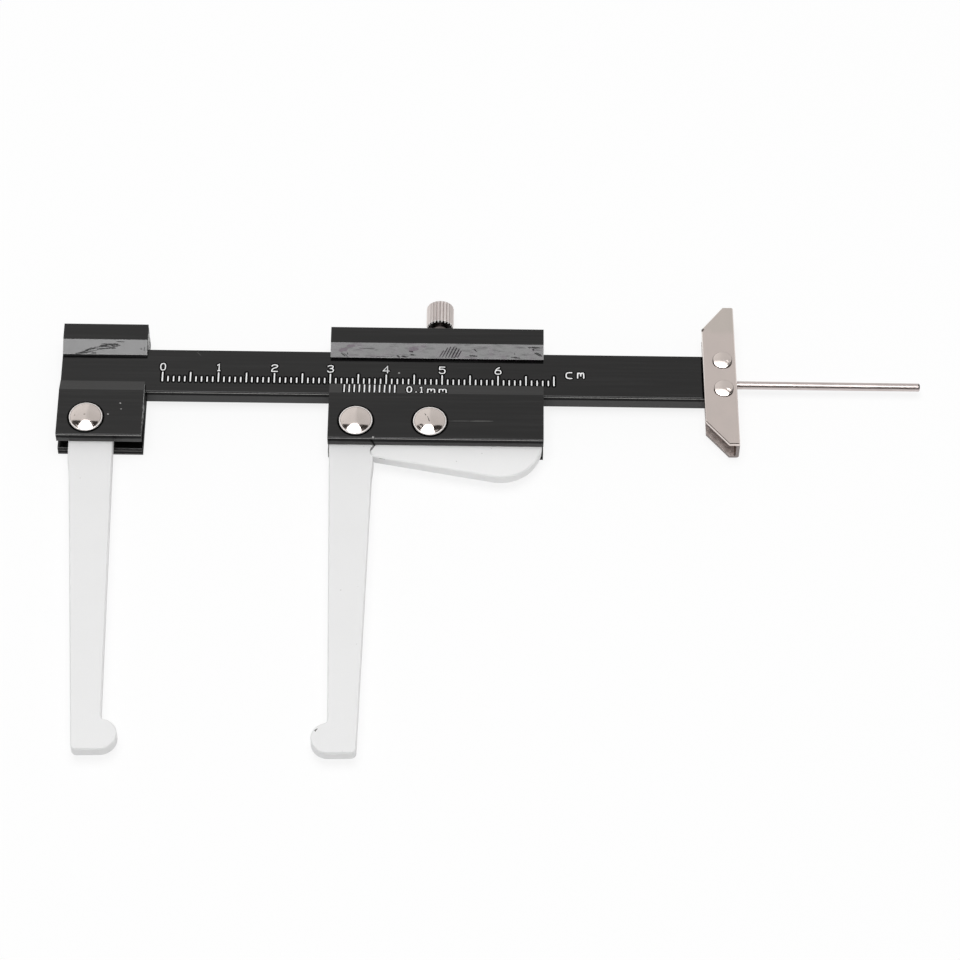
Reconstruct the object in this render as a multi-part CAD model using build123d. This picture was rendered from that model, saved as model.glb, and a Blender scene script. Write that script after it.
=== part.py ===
from build123d import *
import os
from math import cos, pi, radians, sin, sqrt, tan

# A small vernier gauge that lies on its back: scale face up (+Z), bar along X, jaws towards -Y.
# The origin is on the back of the fixed head, under the bar's centre line. All sizes are in mm.

# Main bar and its back groove for the depth rod
bar_width = 9.16
bar_thickness = 3.3
bar_edge_radius = 0.2
bar_end_proud = 0.06
groove_width = 2.4
groove_depth = 2.0

# Lengths and places along the bar
head_length = 15.1
slider_length = 38.2
head_to_scale_zero = 2.96
slider_end_to_vernier_zero = 2.67
scale_zero_to_depth_face = 102.7
reading = 32.6

# Extruded profile that the fixed head and the slider share
holder_depth = 6.5
back_wall = 1.4
top_wall = 3.7
gib_space = 0.55
web_height = 3.45
slot_depth = 7.1
slot_width = 2.3
back_plate = 2.0
land_height = 3.45
upper_lip_overlap = 1.65
upper_lip_edge = 0.55
vernier_overlap = 1.62
vernier_edge = 0.75
vernier_bevel_height = 2.57
holder_edge_radius = 0.18
slider_clearance = 0.05

# Jaws: flat plates, mirror images of each other, each turned a little on its rivet
plate_edge_break = 0.2
jaw_clearance = 0.05
jaw_length_below_rivet = 65.8
jaw_inner_offset = 4.78
jaw_outer_offset = 3.1
jaw_shoulder_top = 7.0
jaw_shoulder_height = 3.5
jaw_shoulder_step = 0.33
jaw_taper_angle = 2.75
jaw_tip_radius = 3.0
jaw_heel_radius = 1.0
jaw_neck_radius = 0.6
jaw_lean_angle = 1.45
jaw_tang_gap = 0.25
head_rivet_inset = 5.13
slider_rivet_inset = 4.92

# Thumb plate under the slider
thumb_clearance = 0.06
thumb_nose_radius = 1.25
thumb_nose_from_jaw_rivet = 2.65
thumb_nose_drop = 1.25
thumb_edge_angle = 10.45
thumb_corner_radius = 7.4
thumb_end_inset = 0.23
thumb_rivet_inset = 18.02
thumb_tang_left = 3.45

# Domed rivets of the jaws and the thumb plate
rivet_rise = 3.65
rivet_head_diameter = 6.05
rivet_head_height = 1.0
rivet_shoulder_width = 0.28
rivet_shoulder_height = 0.28
rivet_shank_diameter = 3.0
rivet_tail_diameter = 4.0
rivet_tail_depth = 0.5
rivet_clearance = 0.02

# Set screws that hold the fixed head on the bar
set_screw_diameter = 3.0
set_screw_length = 3.4
set_screw_spacing = 7.0
set_screw_socket_width = 1.5
set_screw_socket_depth = 1.3
thread_clearance = 0.04

# Lock screw with its knurled knob, and the gib strip that it presses on the bar
lock_screw_inset = 19.52
lock_shank_diameter = 3.0
lock_tip_gap = 0.05
lock_nose_diameter = 1.5
lock_nose_length = 0.3
knob_diameter = 4.9
knob_length = 4.75
knob_gap = 2.15
knob_tooth_count = 22
knob_tooth_depth = 0.26
knob_chamfer = 0.3
gib_length = 36.0
gib_thickness = 0.4
gib_depth = 2.9
gib_clearance = 0.05
gib_hole_clearance = 0.1

# Depth rod, its block in the groove and the screw that holds the block
rod_diameter = 1.45
rod_tip_chamfer = 0.15
rod_lead = 0.45
rod_socket_depth = 3.5
rod_socket_clearance = 0.02
block_length = 8.0
block_inset = 14.0
block_side_clearance = 0.1
block_top_clearance = 0.1
block_screw_inset = 2.2
block_screw_diameter = 1.4
block_screw_head_diameter = 2.6
block_screw_head_depth = 0.6
block_screw_reach = 1.2
block_screw_slot_width = 0.4
block_screw_slot_depth = 0.3

# Depth base: a folded sheet channel on the end of the bar
sheet_thickness = 0.65
base_length = 29.6
base_width = 5.9
base_corner_along = 4.85
base_corner_across = 4.0
base_back_inset = 0.22
base_bend_radius = 0.45
base_edge_break = 0.12
base_end_gap = 0.35
base_rod_clearance = 0.15
base_rivet_spacing = 6.1
base_rivet_inset = 3.45
base_rivet_head_diameter = 3.5
base_rivet_head_height = 0.5
base_rivet_crown_diameter = 0.9
base_rivet_shank_diameter = 1.8
base_rivet_tail_diameter = 2.4
base_rivet_tail_height = 0.3
base_lean_angle = 1.0
base_set_off = 0.2

# Heights above the table
bar_back_z = back_wall
bar_face_z = bar_back_z + bar_thickness
slot_top_z = back_plate + slot_width
jaw_back_z = back_plate + jaw_clearance
jaw_thickness = slot_width - 2 * jaw_clearance
bar_middle_z = (bar_back_z + bar_face_z) / 2

# Levels across the bar
bar_half_width = bar_width / 2
ceiling_y = bar_half_width + gib_space
holder_top_y = ceiling_y + top_wall
land_end_y = holder_top_y - land_height
upper_lip_y = bar_half_width - upper_lip_overlap
vernier_y = -bar_half_width + vernier_overlap
slot_ceiling_y = -bar_half_width - web_height
holder_bottom_y = slot_ceiling_y - slot_depth
rivet_y = holder_bottom_y + rivet_rise

# Places along the bar
head_left_x = -head_length / 2
scale_zero_x = head_length / 2 + head_to_scale_zero
slider_left_x = scale_zero_x + reading - slider_end_to_vernier_zero
slider_right_x = slider_left_x + slider_length
depth_face_x = scale_zero_x + scale_zero_to_depth_face
web_inner_x = depth_face_x - sheet_thickness
base_left_x = depth_face_x - base_width
bar_left_x = head_left_x - bar_end_proud
bar_right_x = web_inner_x - base_end_gap
head_rivet_x = head_left_x + head_rivet_inset
slider_rivet_x = slider_left_x + slider_rivet_inset
thumb_rivet_x = slider_left_x + thumb_rivet_inset
lock_screw_x = slider_left_x + lock_screw_inset
block_left_x = slider_left_x + block_inset
block_right_x = block_left_x + block_length
block_screw_x = block_left_x + block_screw_inset
base_rivet_x = base_left_x + base_rivet_inset

# The jaw tips meet when the gauge reads zero
jaw_tip_reach = (slider_rivet_x - reading - head_rivet_x) / 2

# The block hangs from the slider's back wall and fills the groove; the rod is at its middle
block_back_z = bar_back_z - slider_clearance
block_front_z = bar_back_z + groove_depth - block_top_clearance
rod_z = (block_back_z + block_front_z) / 2

# The strip lies between the slider's top wall and the bar's upper edge
gib_y = bar_half_width + gib_clearance
gib_top_y = gib_y + gib_thickness
lock_tip_y = gib_top_y + lock_tip_gap
knob_y = holder_top_y + knob_gap


def along_x(outline, start_x, length):
    """Extrude a (y, z) outline along the bar."""
    return extrude(Plane.YZ.offset(start_x) * outline, length)


def rounded(points, corners, radius):
    """Closed outline through points, with the corners that lie at the named points rounded."""
    outline = make_face(Polyline(*points, close=True))
    return fillet([corner_at(outline, x, y) for x, y in corners], radius)


def corner_at(outline, x, y):
    """The outline's corner nearest to a point."""
    return outline.vertices().sort_by_distance((x, y, 0))[0]


def upright(radius, x, y, low_z, high_z):
    """A round bar parallel to Z."""
    return Pos(x, y, (low_z + high_z) / 2) * Cylinder(radius, high_z - low_z)


def crosswise(radius, x, z, low_y, high_y):
    """A round bar parallel to Y."""
    return Pos(x, (low_y + high_y) / 2, z) * Rot(90, 0, 0) * Cylinder(radius, high_y - low_y)


def lengthwise(radius, y, z, low_x, high_x):
    """A round bar parallel to X."""
    return Pos((low_x + high_x) / 2, y, z) * Rot(0, 90, 0) * Cylinder(radius, high_x - low_x)


def block(low, high):
    """A box from its lowest to its highest corner."""
    centre = [(a + b) / 2 for a, b in zip(low, high)]
    sides = [b - a for a, b in zip(low, high)]
    return Pos(*centre) * Box(*sides)


def holder_outline(clearance):
    """Outline of the extruded profile, with the bar's channel and the jaw slot."""
    lip_z = bar_face_z + clearance
    channel_back_z = bar_back_z - clearance
    floor_y = -bar_half_width - clearance
    rounded_corners = [
        (holder_top_y, holder_depth),
        (holder_bottom_y, holder_depth),
        (holder_bottom_y, back_plate),
        (holder_bottom_y, 0),
    ]
    points = [
        (holder_top_y, 0),
        (holder_top_y, holder_depth),
        (land_end_y, holder_depth),
        (upper_lip_y, lip_z + upper_lip_edge),
        (upper_lip_y, lip_z),
        (ceiling_y, lip_z),
        (ceiling_y, channel_back_z),
        (floor_y, channel_back_z),
        (floor_y, lip_z),
        (vernier_y, lip_z),
        (vernier_y, lip_z + vernier_edge),
        (vernier_y - vernier_bevel_height, holder_depth),
        (holder_bottom_y, holder_depth),
        (holder_bottom_y, slot_top_z),
        (slot_ceiling_y, slot_top_z),
        (slot_ceiling_y, back_plate),
        (holder_bottom_y, back_plate),
        (holder_bottom_y, 0),
    ]
    return rounded(points, rounded_corners, holder_edge_radius)


def rivet_hole(x):
    """Hole for a plate rivet, countersunk on the back for its flush tail."""
    radius = rivet_shank_diameter / 2 + rivet_clearance
    tail_radius = rivet_tail_diameter / 2 + rivet_clearance
    hole = upright(radius, x, rivet_y, 0, holder_depth)
    sink = Pos(x, rivet_y, rivet_tail_depth / 2) * Cone(tail_radius, radius, rivet_tail_depth)
    return hole + sink


def plate_rivet(x):
    """Domed rivet through both walls of a holder and the plate between them."""
    radius = rivet_shank_diameter / 2
    head_radius = rivet_head_diameter / 2
    tail_radius = rivet_tail_diameter / 2
    dome_radius = head_radius - rivet_shoulder_width
    shoulder_z = holder_depth + rivet_shoulder_height
    top_z = holder_depth + rivet_head_height
    outline = [
        (radius, holder_depth),
        (radius, rivet_tail_depth),
        (tail_radius, 0),
        (0, 0),
        (0, top_z),
    ]
    dome = dome_arc(dome_radius, shoulder_z, top_z)
    rest = Polyline((dome_radius, shoulder_z), (head_radius, holder_depth), *outline)
    return Pos(x, rivet_y, 0) * revolve(Plane.XZ * make_face(dome + rest), Axis.Z)


def dome_arc(radius, rim_z, top_z):
    """Half of a shallow dome's section, from its crown out to its rim."""
    height = top_z - rim_z
    sphere_radius = (radius ** 2 + height ** 2) / (2 * height)
    middle_x = radius / 2
    middle_z = top_z - sphere_radius * (1 - sqrt(1 - (middle_x / sphere_radius) ** 2))
    return ThreePointArc((0, top_z), (middle_x, middle_z), (radius, rim_z))


def main_bar():
    """The bar that carries the scale, with the rod's groove along its back."""
    half_groove = groove_width / 2
    groove_z = bar_back_z + groove_depth
    left_back, right_back = (-bar_half_width, bar_back_z), (bar_half_width, bar_back_z)
    left_face, right_face = (-bar_half_width, bar_face_z), (bar_half_width, bar_face_z)
    groove = [
        (-half_groove, bar_back_z),
        (-half_groove, groove_z),
        (half_groove, groove_z),
        (half_groove, bar_back_z),
    ]
    points = [left_back, *groove, right_back, right_face, left_face]
    section = rounded(points, [left_back, right_back, right_face, left_face], bar_edge_radius)
    bar = along_x(section, bar_left_x, bar_right_x - bar_left_x)
    radius = base_rivet_shank_diameter / 2 + rivet_clearance
    for side in (-1, 1):
        y = side * base_rivet_spacing / 2
        bar -= leant_with_base(upright(radius, base_rivet_x, y, bar_back_z, bar_face_z))
    return bar


def fixed_head():
    """The holder at the end of the bar, clamped by two set screws."""
    head = along_x(holder_outline(0), head_left_x, head_length)
    radius = set_screw_diameter / 2 + thread_clearance
    for x in set_screw_places():
        head -= crosswise(radius, x, bar_middle_z, ceiling_y, holder_top_y)
    return head - rivet_hole(head_rivet_x)


def set_screw_places():
    """Where the two set screws stand along the head."""
    return [-set_screw_spacing / 2, set_screw_spacing / 2]


def set_screw(x):
    """Headless screw with a hexagon socket, its foot on the bar's upper edge."""
    foot_y = bar_half_width
    top_y = foot_y + set_screw_length
    screw = crosswise(set_screw_diameter / 2, x, bar_middle_z, foot_y, top_y)
    socket = RegularPolygon(set_screw_socket_width / 2, 6, major_radius=False)
    mouth = Plane((x, top_y, bar_middle_z), z_dir=(0, -1, 0))
    return screw - extrude(mouth * socket, set_screw_socket_depth)


def slider_body():
    """The sliding holder, with holes for its rivets, the lock screw and the rod block's screw."""
    slider = along_x(holder_outline(slider_clearance), slider_left_x, slider_length)
    radius = lock_shank_diameter / 2 + thread_clearance
    slider -= crosswise(radius, lock_screw_x, bar_middle_z, ceiling_y, holder_top_y)
    slider -= rivet_hole(slider_rivet_x)
    slider -= rivet_hole(thumb_rivet_x)
    return slider - block_screw_form(rivet_clearance)


def jaw_outline():
    """Outline of a jaw with its rivet at the origin and its measuring edge on the +X side."""
    tang_top = slot_depth - rivet_rise - jaw_tang_gap
    bottom = -jaw_length_below_rivet
    tip_x = jaw_tip_reach - jaw_tip_radius
    tip_y = bottom + jaw_tip_radius
    neck_y = tip_y + sqrt(jaw_tip_radius ** 2 - (jaw_inner_offset - tip_x) ** 2)
    slope = tan(radians(jaw_taper_angle))
    waist_x = -jaw_outer_offset + jaw_shoulder_step
    waist_y = -jaw_shoulder_top - jaw_shoulder_height
    heel_x = waist_x + slope * (waist_y - bottom)
    edges = [
        Line((-jaw_outer_offset, tang_top), (jaw_inner_offset, tang_top)),
        Line((jaw_inner_offset, tang_top), (jaw_inner_offset, neck_y)),
        ThreePointArc((jaw_inner_offset, neck_y), (jaw_tip_reach, tip_y), (tip_x, bottom)),
        Line((tip_x, bottom), (heel_x, bottom)),
        Line((heel_x, bottom), (waist_x, waist_y)),
        Spline(
            (waist_x, waist_y),
            (-jaw_outer_offset, -jaw_shoulder_top),
            tangents=[(-slope, 1), (0, 1)],
        ),
        Line((-jaw_outer_offset, -jaw_shoulder_top), (-jaw_outer_offset, tang_top)),
    ]
    outline = make_face(Curve() + edges)
    outline = fillet(corner_at(outline, jaw_inner_offset, neck_y), jaw_neck_radius)
    return fillet(corner_at(outline, heel_x, bottom), jaw_heel_radius)


def riveted_plate(outline, rivet_place):
    """Plate of the jaws' thickness with broken edges and a hole for its rivet."""
    plate = extrude(outline, jaw_thickness)
    rims = plate.faces().filter_by(Axis.Z).edges()
    hole_radius = rivet_shank_diameter / 2 + rivet_clearance
    return chamfer(rims, plate_edge_break) - upright(hole_radius, *rivet_place, 0, jaw_thickness)


def jaw_plate(outline, x):
    """A jaw, leant on its rivet and standing in its slot."""
    leant = Rot(0, 0, jaw_lean_angle) * riveted_plate(outline, (0, 0))
    return Pos(x, rivet_y, jaw_back_z) * leant


def fixed_jaw():
    return jaw_plate(jaw_outline(), head_rivet_x)


def moving_jaw():
    """The mirrored jaw, notched where the thumb plate's nose locates on it."""
    jaw = jaw_plate(mirror(jaw_outline(), about=Plane.YZ), slider_rivet_x)
    nose_x, nose_y = thumb_nose_centre()
    return jaw - upright(thumb_nose_radius + thumb_clearance, nose_x, nose_y, jaw_back_z, slot_top_z)


def thumb_nose_centre():
    """Centre of the round nose at the thumb plate's left end."""
    left_x = slider_rivet_x + thumb_nose_from_jaw_rivet
    return left_x + thumb_nose_radius, holder_bottom_y - thumb_nose_drop


def thumb_plate():
    """Plate under the slider: round nose, sloping lower edge and one large round corner."""
    nose_x, nose_y = thumb_nose_centre()
    top_y = slot_ceiling_y - thumb_clearance
    left_x = slider_rivet_x + thumb_tang_left
    right_x = slider_right_x - thumb_end_inset
    along = (cos(radians(thumb_edge_angle)), -sin(radians(thumb_edge_angle)))
    down = (along[1], -along[0])
    start = (nose_x + thumb_nose_radius * down[0], nose_y + thumb_nose_radius * down[1])
    corner_x = right_x - thumb_corner_radius
    run = (corner_x + thumb_corner_radius * down[0] - start[0]) / along[0]
    finish = (start[0] + run * along[0], start[1] + run * along[1])
    corner_y = finish[1] - thumb_corner_radius * down[1]
    middle = radians(-45 - thumb_edge_angle / 2)
    corner_mid = (
        corner_x + thumb_corner_radius * cos(middle),
        corner_y + thumb_corner_radius * sin(middle),
    )
    shoulder_y = nose_y + sqrt(thumb_nose_radius ** 2 - (nose_x - left_x) ** 2)
    edges = [
        Line((left_x, top_y), (left_x, shoulder_y)),
        ThreePointArc((left_x, shoulder_y), (nose_x - thumb_nose_radius, nose_y), start),
        Line(start, finish),
        ThreePointArc(finish, corner_mid, (right_x, corner_y)),
        Line((right_x, corner_y), (right_x, top_y)),
        Line((right_x, top_y), (left_x, top_y)),
    ]
    outline = make_face(Curve() + edges)
    return Pos(0, 0, jaw_back_z) * riveted_plate(outline, (thumb_rivet_x, rivet_y))


def lock_screw():
    """Screw across the slider's top wall, with a straight-knurled knob and a short nose."""
    place = (lock_screw_x, knob_y, bar_middle_z)
    half_tooth = pi / knob_tooth_count
    star = []
    for step in range(2 * knob_tooth_count):
        radius = knob_diameter / 2 - knob_tooth_depth * (step % 2)
        star.append((radius * cos(step * half_tooth), radius * sin(step * half_tooth)))
    knurl = extrude(make_face(Polyline(*star, close=True)), knob_length)
    edge = knob_diameter / 2
    blank = [
        (0, 0),
        (edge - knob_chamfer, 0),
        (edge, knob_chamfer),
        (edge, knob_length - knob_chamfer),
        (edge - knob_chamfer, knob_length),
        (0, knob_length),
    ]
    turned = revolve(Plane.XZ * make_face(Polyline(*blank, close=True)), Axis.Z)
    knob = Plane(place, x_dir=(1, 0, 0), z_dir=(0, 1, 0)) * (knurl & turned)
    shank = crosswise(lock_shank_diameter / 2, lock_screw_x, bar_middle_z, lock_tip_y, knob_y)
    nose_end_y = lock_tip_y - lock_nose_length
    nose = crosswise(lock_nose_diameter / 2, lock_screw_x, bar_middle_z, nose_end_y, lock_tip_y)
    return knob + shank + nose


def gib_strip():
    """Spring strip that the lock screw presses on the bar; the screw's nose holds it in place."""
    middle_x = (slider_left_x + slider_right_x) / 2
    strip = block(
        (middle_x - gib_length / 2, gib_y, bar_middle_z - gib_depth / 2),
        (middle_x + gib_length / 2, gib_top_y, bar_middle_z + gib_depth / 2),
    )
    radius = lock_nose_diameter / 2 + gib_hole_clearance
    return strip - crosswise(radius, lock_screw_x, bar_middle_z, gib_y, gib_top_y)


def block_screw_form(clearance):
    """Countersunk screw that holds the rod block, or the room that it needs."""
    radius = block_screw_diameter / 2 + clearance
    head_radius = block_screw_head_diameter / 2 + clearance
    shank = upright(radius, block_screw_x, 0, 0, block_back_z + block_screw_reach)
    sink = Cone(head_radius, radius, block_screw_head_depth)
    return shank + Pos(block_screw_x, 0, block_screw_head_depth / 2) * sink


def depth_rod_screw():
    """The block's screw, flush with the slider's back and slotted for a screwdriver."""
    half_slot = block_screw_slot_width / 2
    half_head = block_screw_head_diameter / 2
    slot = block(
        (block_screw_x - half_head, -half_slot, 0),
        (block_screw_x + half_head, half_slot, block_screw_slot_depth),
    )
    return block_screw_form(0) - slot


def depth_rod_block():
    """Small block in the bar's groove that ties the rod to the slider."""
    half_width = groove_width / 2 - block_side_clearance
    body = block(
        (block_left_x, -half_width, block_back_z),
        (block_right_x, half_width, block_front_z),
    )
    radius = rod_diameter / 2 + rod_socket_clearance
    body -= lengthwise(radius, 0, rod_z, block_right_x - rod_socket_depth, block_right_x)
    return body - block_screw_form(rivet_clearance)


def depth_rod():
    """The probe; it leaves the base by the reading and its own small lead."""
    start_x = block_right_x - rod_socket_depth
    tip_x = depth_face_x + reading + rod_lead
    rod = lengthwise(rod_diameter / 2, 0, rod_z, start_x, tip_x)
    tip_edge = rod.edges().filter_by(GeomType.CIRCLE).sort_by(Axis.X)[-1]
    return chamfer(tip_edge, rod_tip_chamfer)


def leant_with_base(shape):
    """Set off and turn a shape as the whole base stands on the bar."""
    place = Pos(depth_face_x, base_set_off, 0) * Rot(0, 0, base_lean_angle)
    return place * Pos(-depth_face_x, 0, 0) * shape


def depth_base():
    """Sheet folded to a channel round the bar's end, closed along its reference face."""
    back_z = bar_back_z - sheet_thickness
    front_z = bar_face_z + sheet_thickness
    left_x = base_left_x + base_back_inset
    base = flange(base_left_x, bar_middle_z, front_z) + flange(left_x, back_z, bar_middle_z)
    base -= block(
        (base_left_x, -base_length, bar_back_z),
        (web_inner_x, base_length, bar_face_z),
    )
    web = base.edges().filter_by(Axis.Y).group_by(Axis.X)[-1]
    base = fillet(web, base_bend_radius)
    for side in (-1, 1):
        radius = base_rivet_shank_diameter / 2 + rivet_clearance
        base -= upright(radius, base_rivet_x, side * base_rivet_spacing / 2, back_z, front_z)
    rim = base.faces().filter_by(Axis.Z).sort_by(Axis.Z)[-1].outer_wire().edges()
    sheared = [edge for edge in rim if edge.center().X < web_inner_x]
    base = chamfer(sheared, base_edge_break)
    passage = rod_diameter / 2 + base_rod_clearance
    rod_way = lengthwise(passage, 0, rod_z, bar_right_x, depth_face_x + sheet_thickness)
    return leant_with_base(base) - rod_way


def flange(left_x, low_z, high_z):
    """The base between two heights, unhollowed, with its free corners cut off."""
    end = base_length / 2
    corner_x = left_x + base_corner_across
    corner_y = end - base_corner_along
    outline = Polyline(
        (left_x, -corner_y),
        (corner_x, -end),
        (depth_face_x, -end),
        (depth_face_x, end),
        (corner_x, end),
        (left_x, corner_y),
        close=True,
    )
    return extrude(Pos(0, 0, low_z) * make_face(outline), high_z - low_z)


def depth_base_rivet(side):
    """Rivet through the base and the bar, with a low blunt head in front and a tapered tail."""
    radius = base_rivet_shank_diameter / 2
    head_radius = base_rivet_head_diameter / 2
    tail_radius = base_rivet_tail_diameter / 2
    front_z = bar_face_z + sheet_thickness
    back_z = bar_back_z - sheet_thickness
    top_z = front_z + base_rivet_head_height
    low_z = back_z - base_rivet_tail_height
    outline = [
        (0, top_z),
        (base_rivet_crown_diameter / 2, top_z),
        (head_radius, front_z),
        (radius, front_z),
        (radius, back_z),
        (tail_radius, back_z),
        (radius, low_z),
        (0, low_z),
    ]
    rivet = revolve(Plane.XZ * make_face(Polyline(*outline, close=True)), Axis.Z)
    return leant_with_base(Pos(base_rivet_x, side * base_rivet_spacing / 2, 0) * rivet)


left_screw_x, right_screw_x = set_screw_places()
pieces = {
    "main_bar": main_bar(),
    "fixed_head": fixed_head(),
    "head_set_screw_left": set_screw(left_screw_x),
    "head_set_screw_right": set_screw(right_screw_x),
    "fixed_jaw": fixed_jaw(),
    "fixed_jaw_rivet": plate_rivet(head_rivet_x),
    "slider_body": slider_body(),
    "moving_jaw": moving_jaw(),
    "moving_jaw_rivet": plate_rivet(slider_rivet_x),
    "thumb_plate": thumb_plate(),
    "thumb_plate_rivet": plate_rivet(thumb_rivet_x),
    "gib_strip": gib_strip(),
    "lock_screw": lock_screw(),
    "depth_rod": depth_rod(),
    "depth_rod_block": depth_rod_block(),
    "depth_rod_screw": depth_rod_screw(),
    "depth_base": depth_base(),
    "depth_base_rivet_upper": depth_base_rivet(1),
    "depth_base_rivet_lower": depth_base_rivet(-1),
}

os.makedirs("parts", exist_ok=True)
for name, piece in pieces.items():
    export_step(piece, f"parts/{name}.step")
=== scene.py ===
import math

import bpy
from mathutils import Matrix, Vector
from mathutils.noise import noise as noise_at


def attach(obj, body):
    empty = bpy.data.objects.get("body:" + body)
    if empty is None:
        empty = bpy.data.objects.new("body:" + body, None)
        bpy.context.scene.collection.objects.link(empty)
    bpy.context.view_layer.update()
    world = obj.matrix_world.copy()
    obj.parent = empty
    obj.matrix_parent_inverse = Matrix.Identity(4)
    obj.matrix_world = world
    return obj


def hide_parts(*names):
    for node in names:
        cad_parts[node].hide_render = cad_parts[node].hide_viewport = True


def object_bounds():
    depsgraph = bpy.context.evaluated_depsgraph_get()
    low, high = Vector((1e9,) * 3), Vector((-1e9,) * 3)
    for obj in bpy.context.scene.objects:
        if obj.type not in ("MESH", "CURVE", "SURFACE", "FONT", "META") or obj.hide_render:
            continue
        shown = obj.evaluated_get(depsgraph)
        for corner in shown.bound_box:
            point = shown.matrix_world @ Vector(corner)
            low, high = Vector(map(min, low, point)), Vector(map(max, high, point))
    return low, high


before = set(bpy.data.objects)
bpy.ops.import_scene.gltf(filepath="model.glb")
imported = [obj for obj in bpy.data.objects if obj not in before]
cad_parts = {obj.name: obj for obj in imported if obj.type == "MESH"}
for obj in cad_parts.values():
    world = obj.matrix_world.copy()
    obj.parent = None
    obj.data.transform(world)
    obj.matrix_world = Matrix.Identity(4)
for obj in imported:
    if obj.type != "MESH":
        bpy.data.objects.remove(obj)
bpy.context.view_layer.update()
cad_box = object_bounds()

# Places on the gauge, in millimetres of the part frame
MILLIMETRE = 0.001
SCALE_ZERO_X = 10.51
BAR_FACE_Z = 4.7
HEAD_RIGHT_X = 7.55
PLATE_FACE_Z = 6.5
VERNIER_ZERO_X = SCALE_ZERO_X + 32.6
VERNIER_TOP = (-2.96, 5.5)
VERNIER_FOOT = (-5.53, 6.5)
RIVET_Y = -11.48
RIVET_PLACES = {"fixed_jaw_rivet": -2.42, "moving_jaw_rivet": 45.36, "thumb_plate_rivet": 58.46}
BASE_RIVET_PLACES = {"depth_base_rivet_upper": (110.707, 3.207), "depth_base_rivet_lower": (110.814, -2.892)}

# The print
INK_DEPTH = 0.006
INK_HEIGHT = 0.012
INK_STEP = 0.0008
GROUND_HEIGHT = 0.004
GROUND_RIM = 0.24
TICK_GROUND_RIM = 0.33
TICK_WIDTH = 0.24
TICK_FOOT_Y = -2.30
SHORT_TICK_TOP_Y = -1.22
LONG_TICK_TOP_Y = -0.31
TICKS_ON_SCALE = 71
LONG_TICK_EVERY = 5
MM_PER_NUMBER = 10
NUMBER_FOOT_Y = 0.10
NUMBER_PEN = 0.20
UNIT_PEN = 0.23
VERNIER_TICKS = 11
VERNIER_STEP = 0.9
VERNIER_TICK_START = 0.15
VERNIER_TICK_END = 2.57
VERNIER_TEXT_FOOT = 2.38
VERNIER_TEXT_TALL = 1.08
VERNIER_PEN = 0.23
SCALE_TICK_CAP = 0.3 * TICK_WIDTH
VERNIER_TICK_CAP = 0.1

# Pen paths of the characters: foot at y 0, centred on x 0, in millimetres
CHARACTERS = {
    "0": [([(0.0, 0.0), (0.31, 0.14), (0.425, 0.7), (0.31, 1.26), (0.0, 1.4), (-0.31, 1.26),
            (-0.425, 0.7), (-0.31, 0.14)], "loop")],
    "1": [([(-0.24, 1.18), (0.03, 1.40), (0.03, 0.0)], "straight"),
          ([(-0.20, 0.0), (0.20, 0.0)], "straight")],
    "2": [([(-0.52, 1.13), (-0.30, 1.37), (0.08, 1.42), (0.42, 1.30), (0.47, 1.06), (0.22, 0.84),
            (-0.22, 0.64), (-0.48, 0.38), (-0.52, 0.0)], "curve"),
          ([(-0.52, 0.0), (0.50, 0.0)], "straight")],
    "3": [([(-0.46, 1.20), (-0.26, 1.37), (0.06, 1.41), (0.36, 1.32), (0.42, 1.06), (0.22, 0.82),
            (-0.06, 0.76)], "curve"),
          ([(-0.06, 0.76), (0.30, 0.72), (0.50, 0.42), (0.36, 0.10), (-0.02, 0.0), (-0.34, 0.04),
            (-0.52, 0.24)], "curve")],
    "4": [([(0.20, 0.0), (0.20, 1.42), (-0.58, 0.40), (0.46, 0.40)], "straight")],
    "5": [([(0.44, 1.40), (-0.44, 1.40), (-0.50, 0.86)], "straight"),
          ([(-0.50, 0.86), (-0.12, 0.94), (0.30, 0.88), (0.50, 0.52), (0.36, 0.12), (0.0, 0.0),
            (-0.34, 0.06), (-0.50, 0.24)], "curve")],
    "6": [([(0.24, 1.42), (-0.12, 1.22), (-0.40, 0.86), (-0.50, 0.46)], "curve"),
          ([(0.0, 0.0), (0.40, 0.12), (0.52, 0.44), (0.36, 0.76), (0.0, 0.86), (-0.38, 0.76),
            (-0.52, 0.44), (-0.40, 0.12)], "loop")],
    "c": [([(0.46, 1.08), (-0.08, 1.08), (-0.42, 0.92), (-0.50, 0.54), (-0.42, 0.16), (-0.08, 0.0),
            (0.46, 0.0)], "curve")],
    "m": [([(-0.54, 0.0), (-0.54, 1.0)], "straight"),
          ([(-0.54, 0.62), (-0.42, 0.94), (-0.22, 1.0), (-0.04, 0.88), (0.0, 0.42)], "curve"),
          ([(0.0, 0.62), (0.12, 0.94), (0.32, 1.0), (0.50, 0.88), (0.54, 0.0)], "curve")],
    ".": [([(-0.06, 0.06), (0.06, 0.06)], "straight")],
}
UNIT_LETTERS = [("c", 72.72, -0.62, 1.05, 1.15), ("m", 74.80, -0.50, 1.02, 1.05)]
VERNIER_TEXT = [("0", 44.20, 0.0, 0.94, 1.14), ("1", 46.36, 0.0, 0.90, 1.10), (".", 45.43, 0.0, 1.0, 1.0),
                ("m", 48.10, 0.0, 1.14, 0.98), ("m", 50.16, 0.0, 1.14, 0.98)]


def as_metres(*millimetres):
    """A place in metres from one in millimetres."""
    return tuple(value * MILLIMETRE for value in millimetres)


def new_mesh(name, points, faces, material):
    """A mesh from points in metres."""
    mesh = bpy.data.meshes.new(name)
    mesh.from_pydata(points, [], faces)
    mesh.materials.append(material)
    return mesh


def add_object(name, data):
    """A mesh, a lamp or a camera put in the scene."""
    made = bpy.data.objects.new(name, data)
    bpy.context.scene.collection.objects.link(made)
    return made


# Pen strokes

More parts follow.
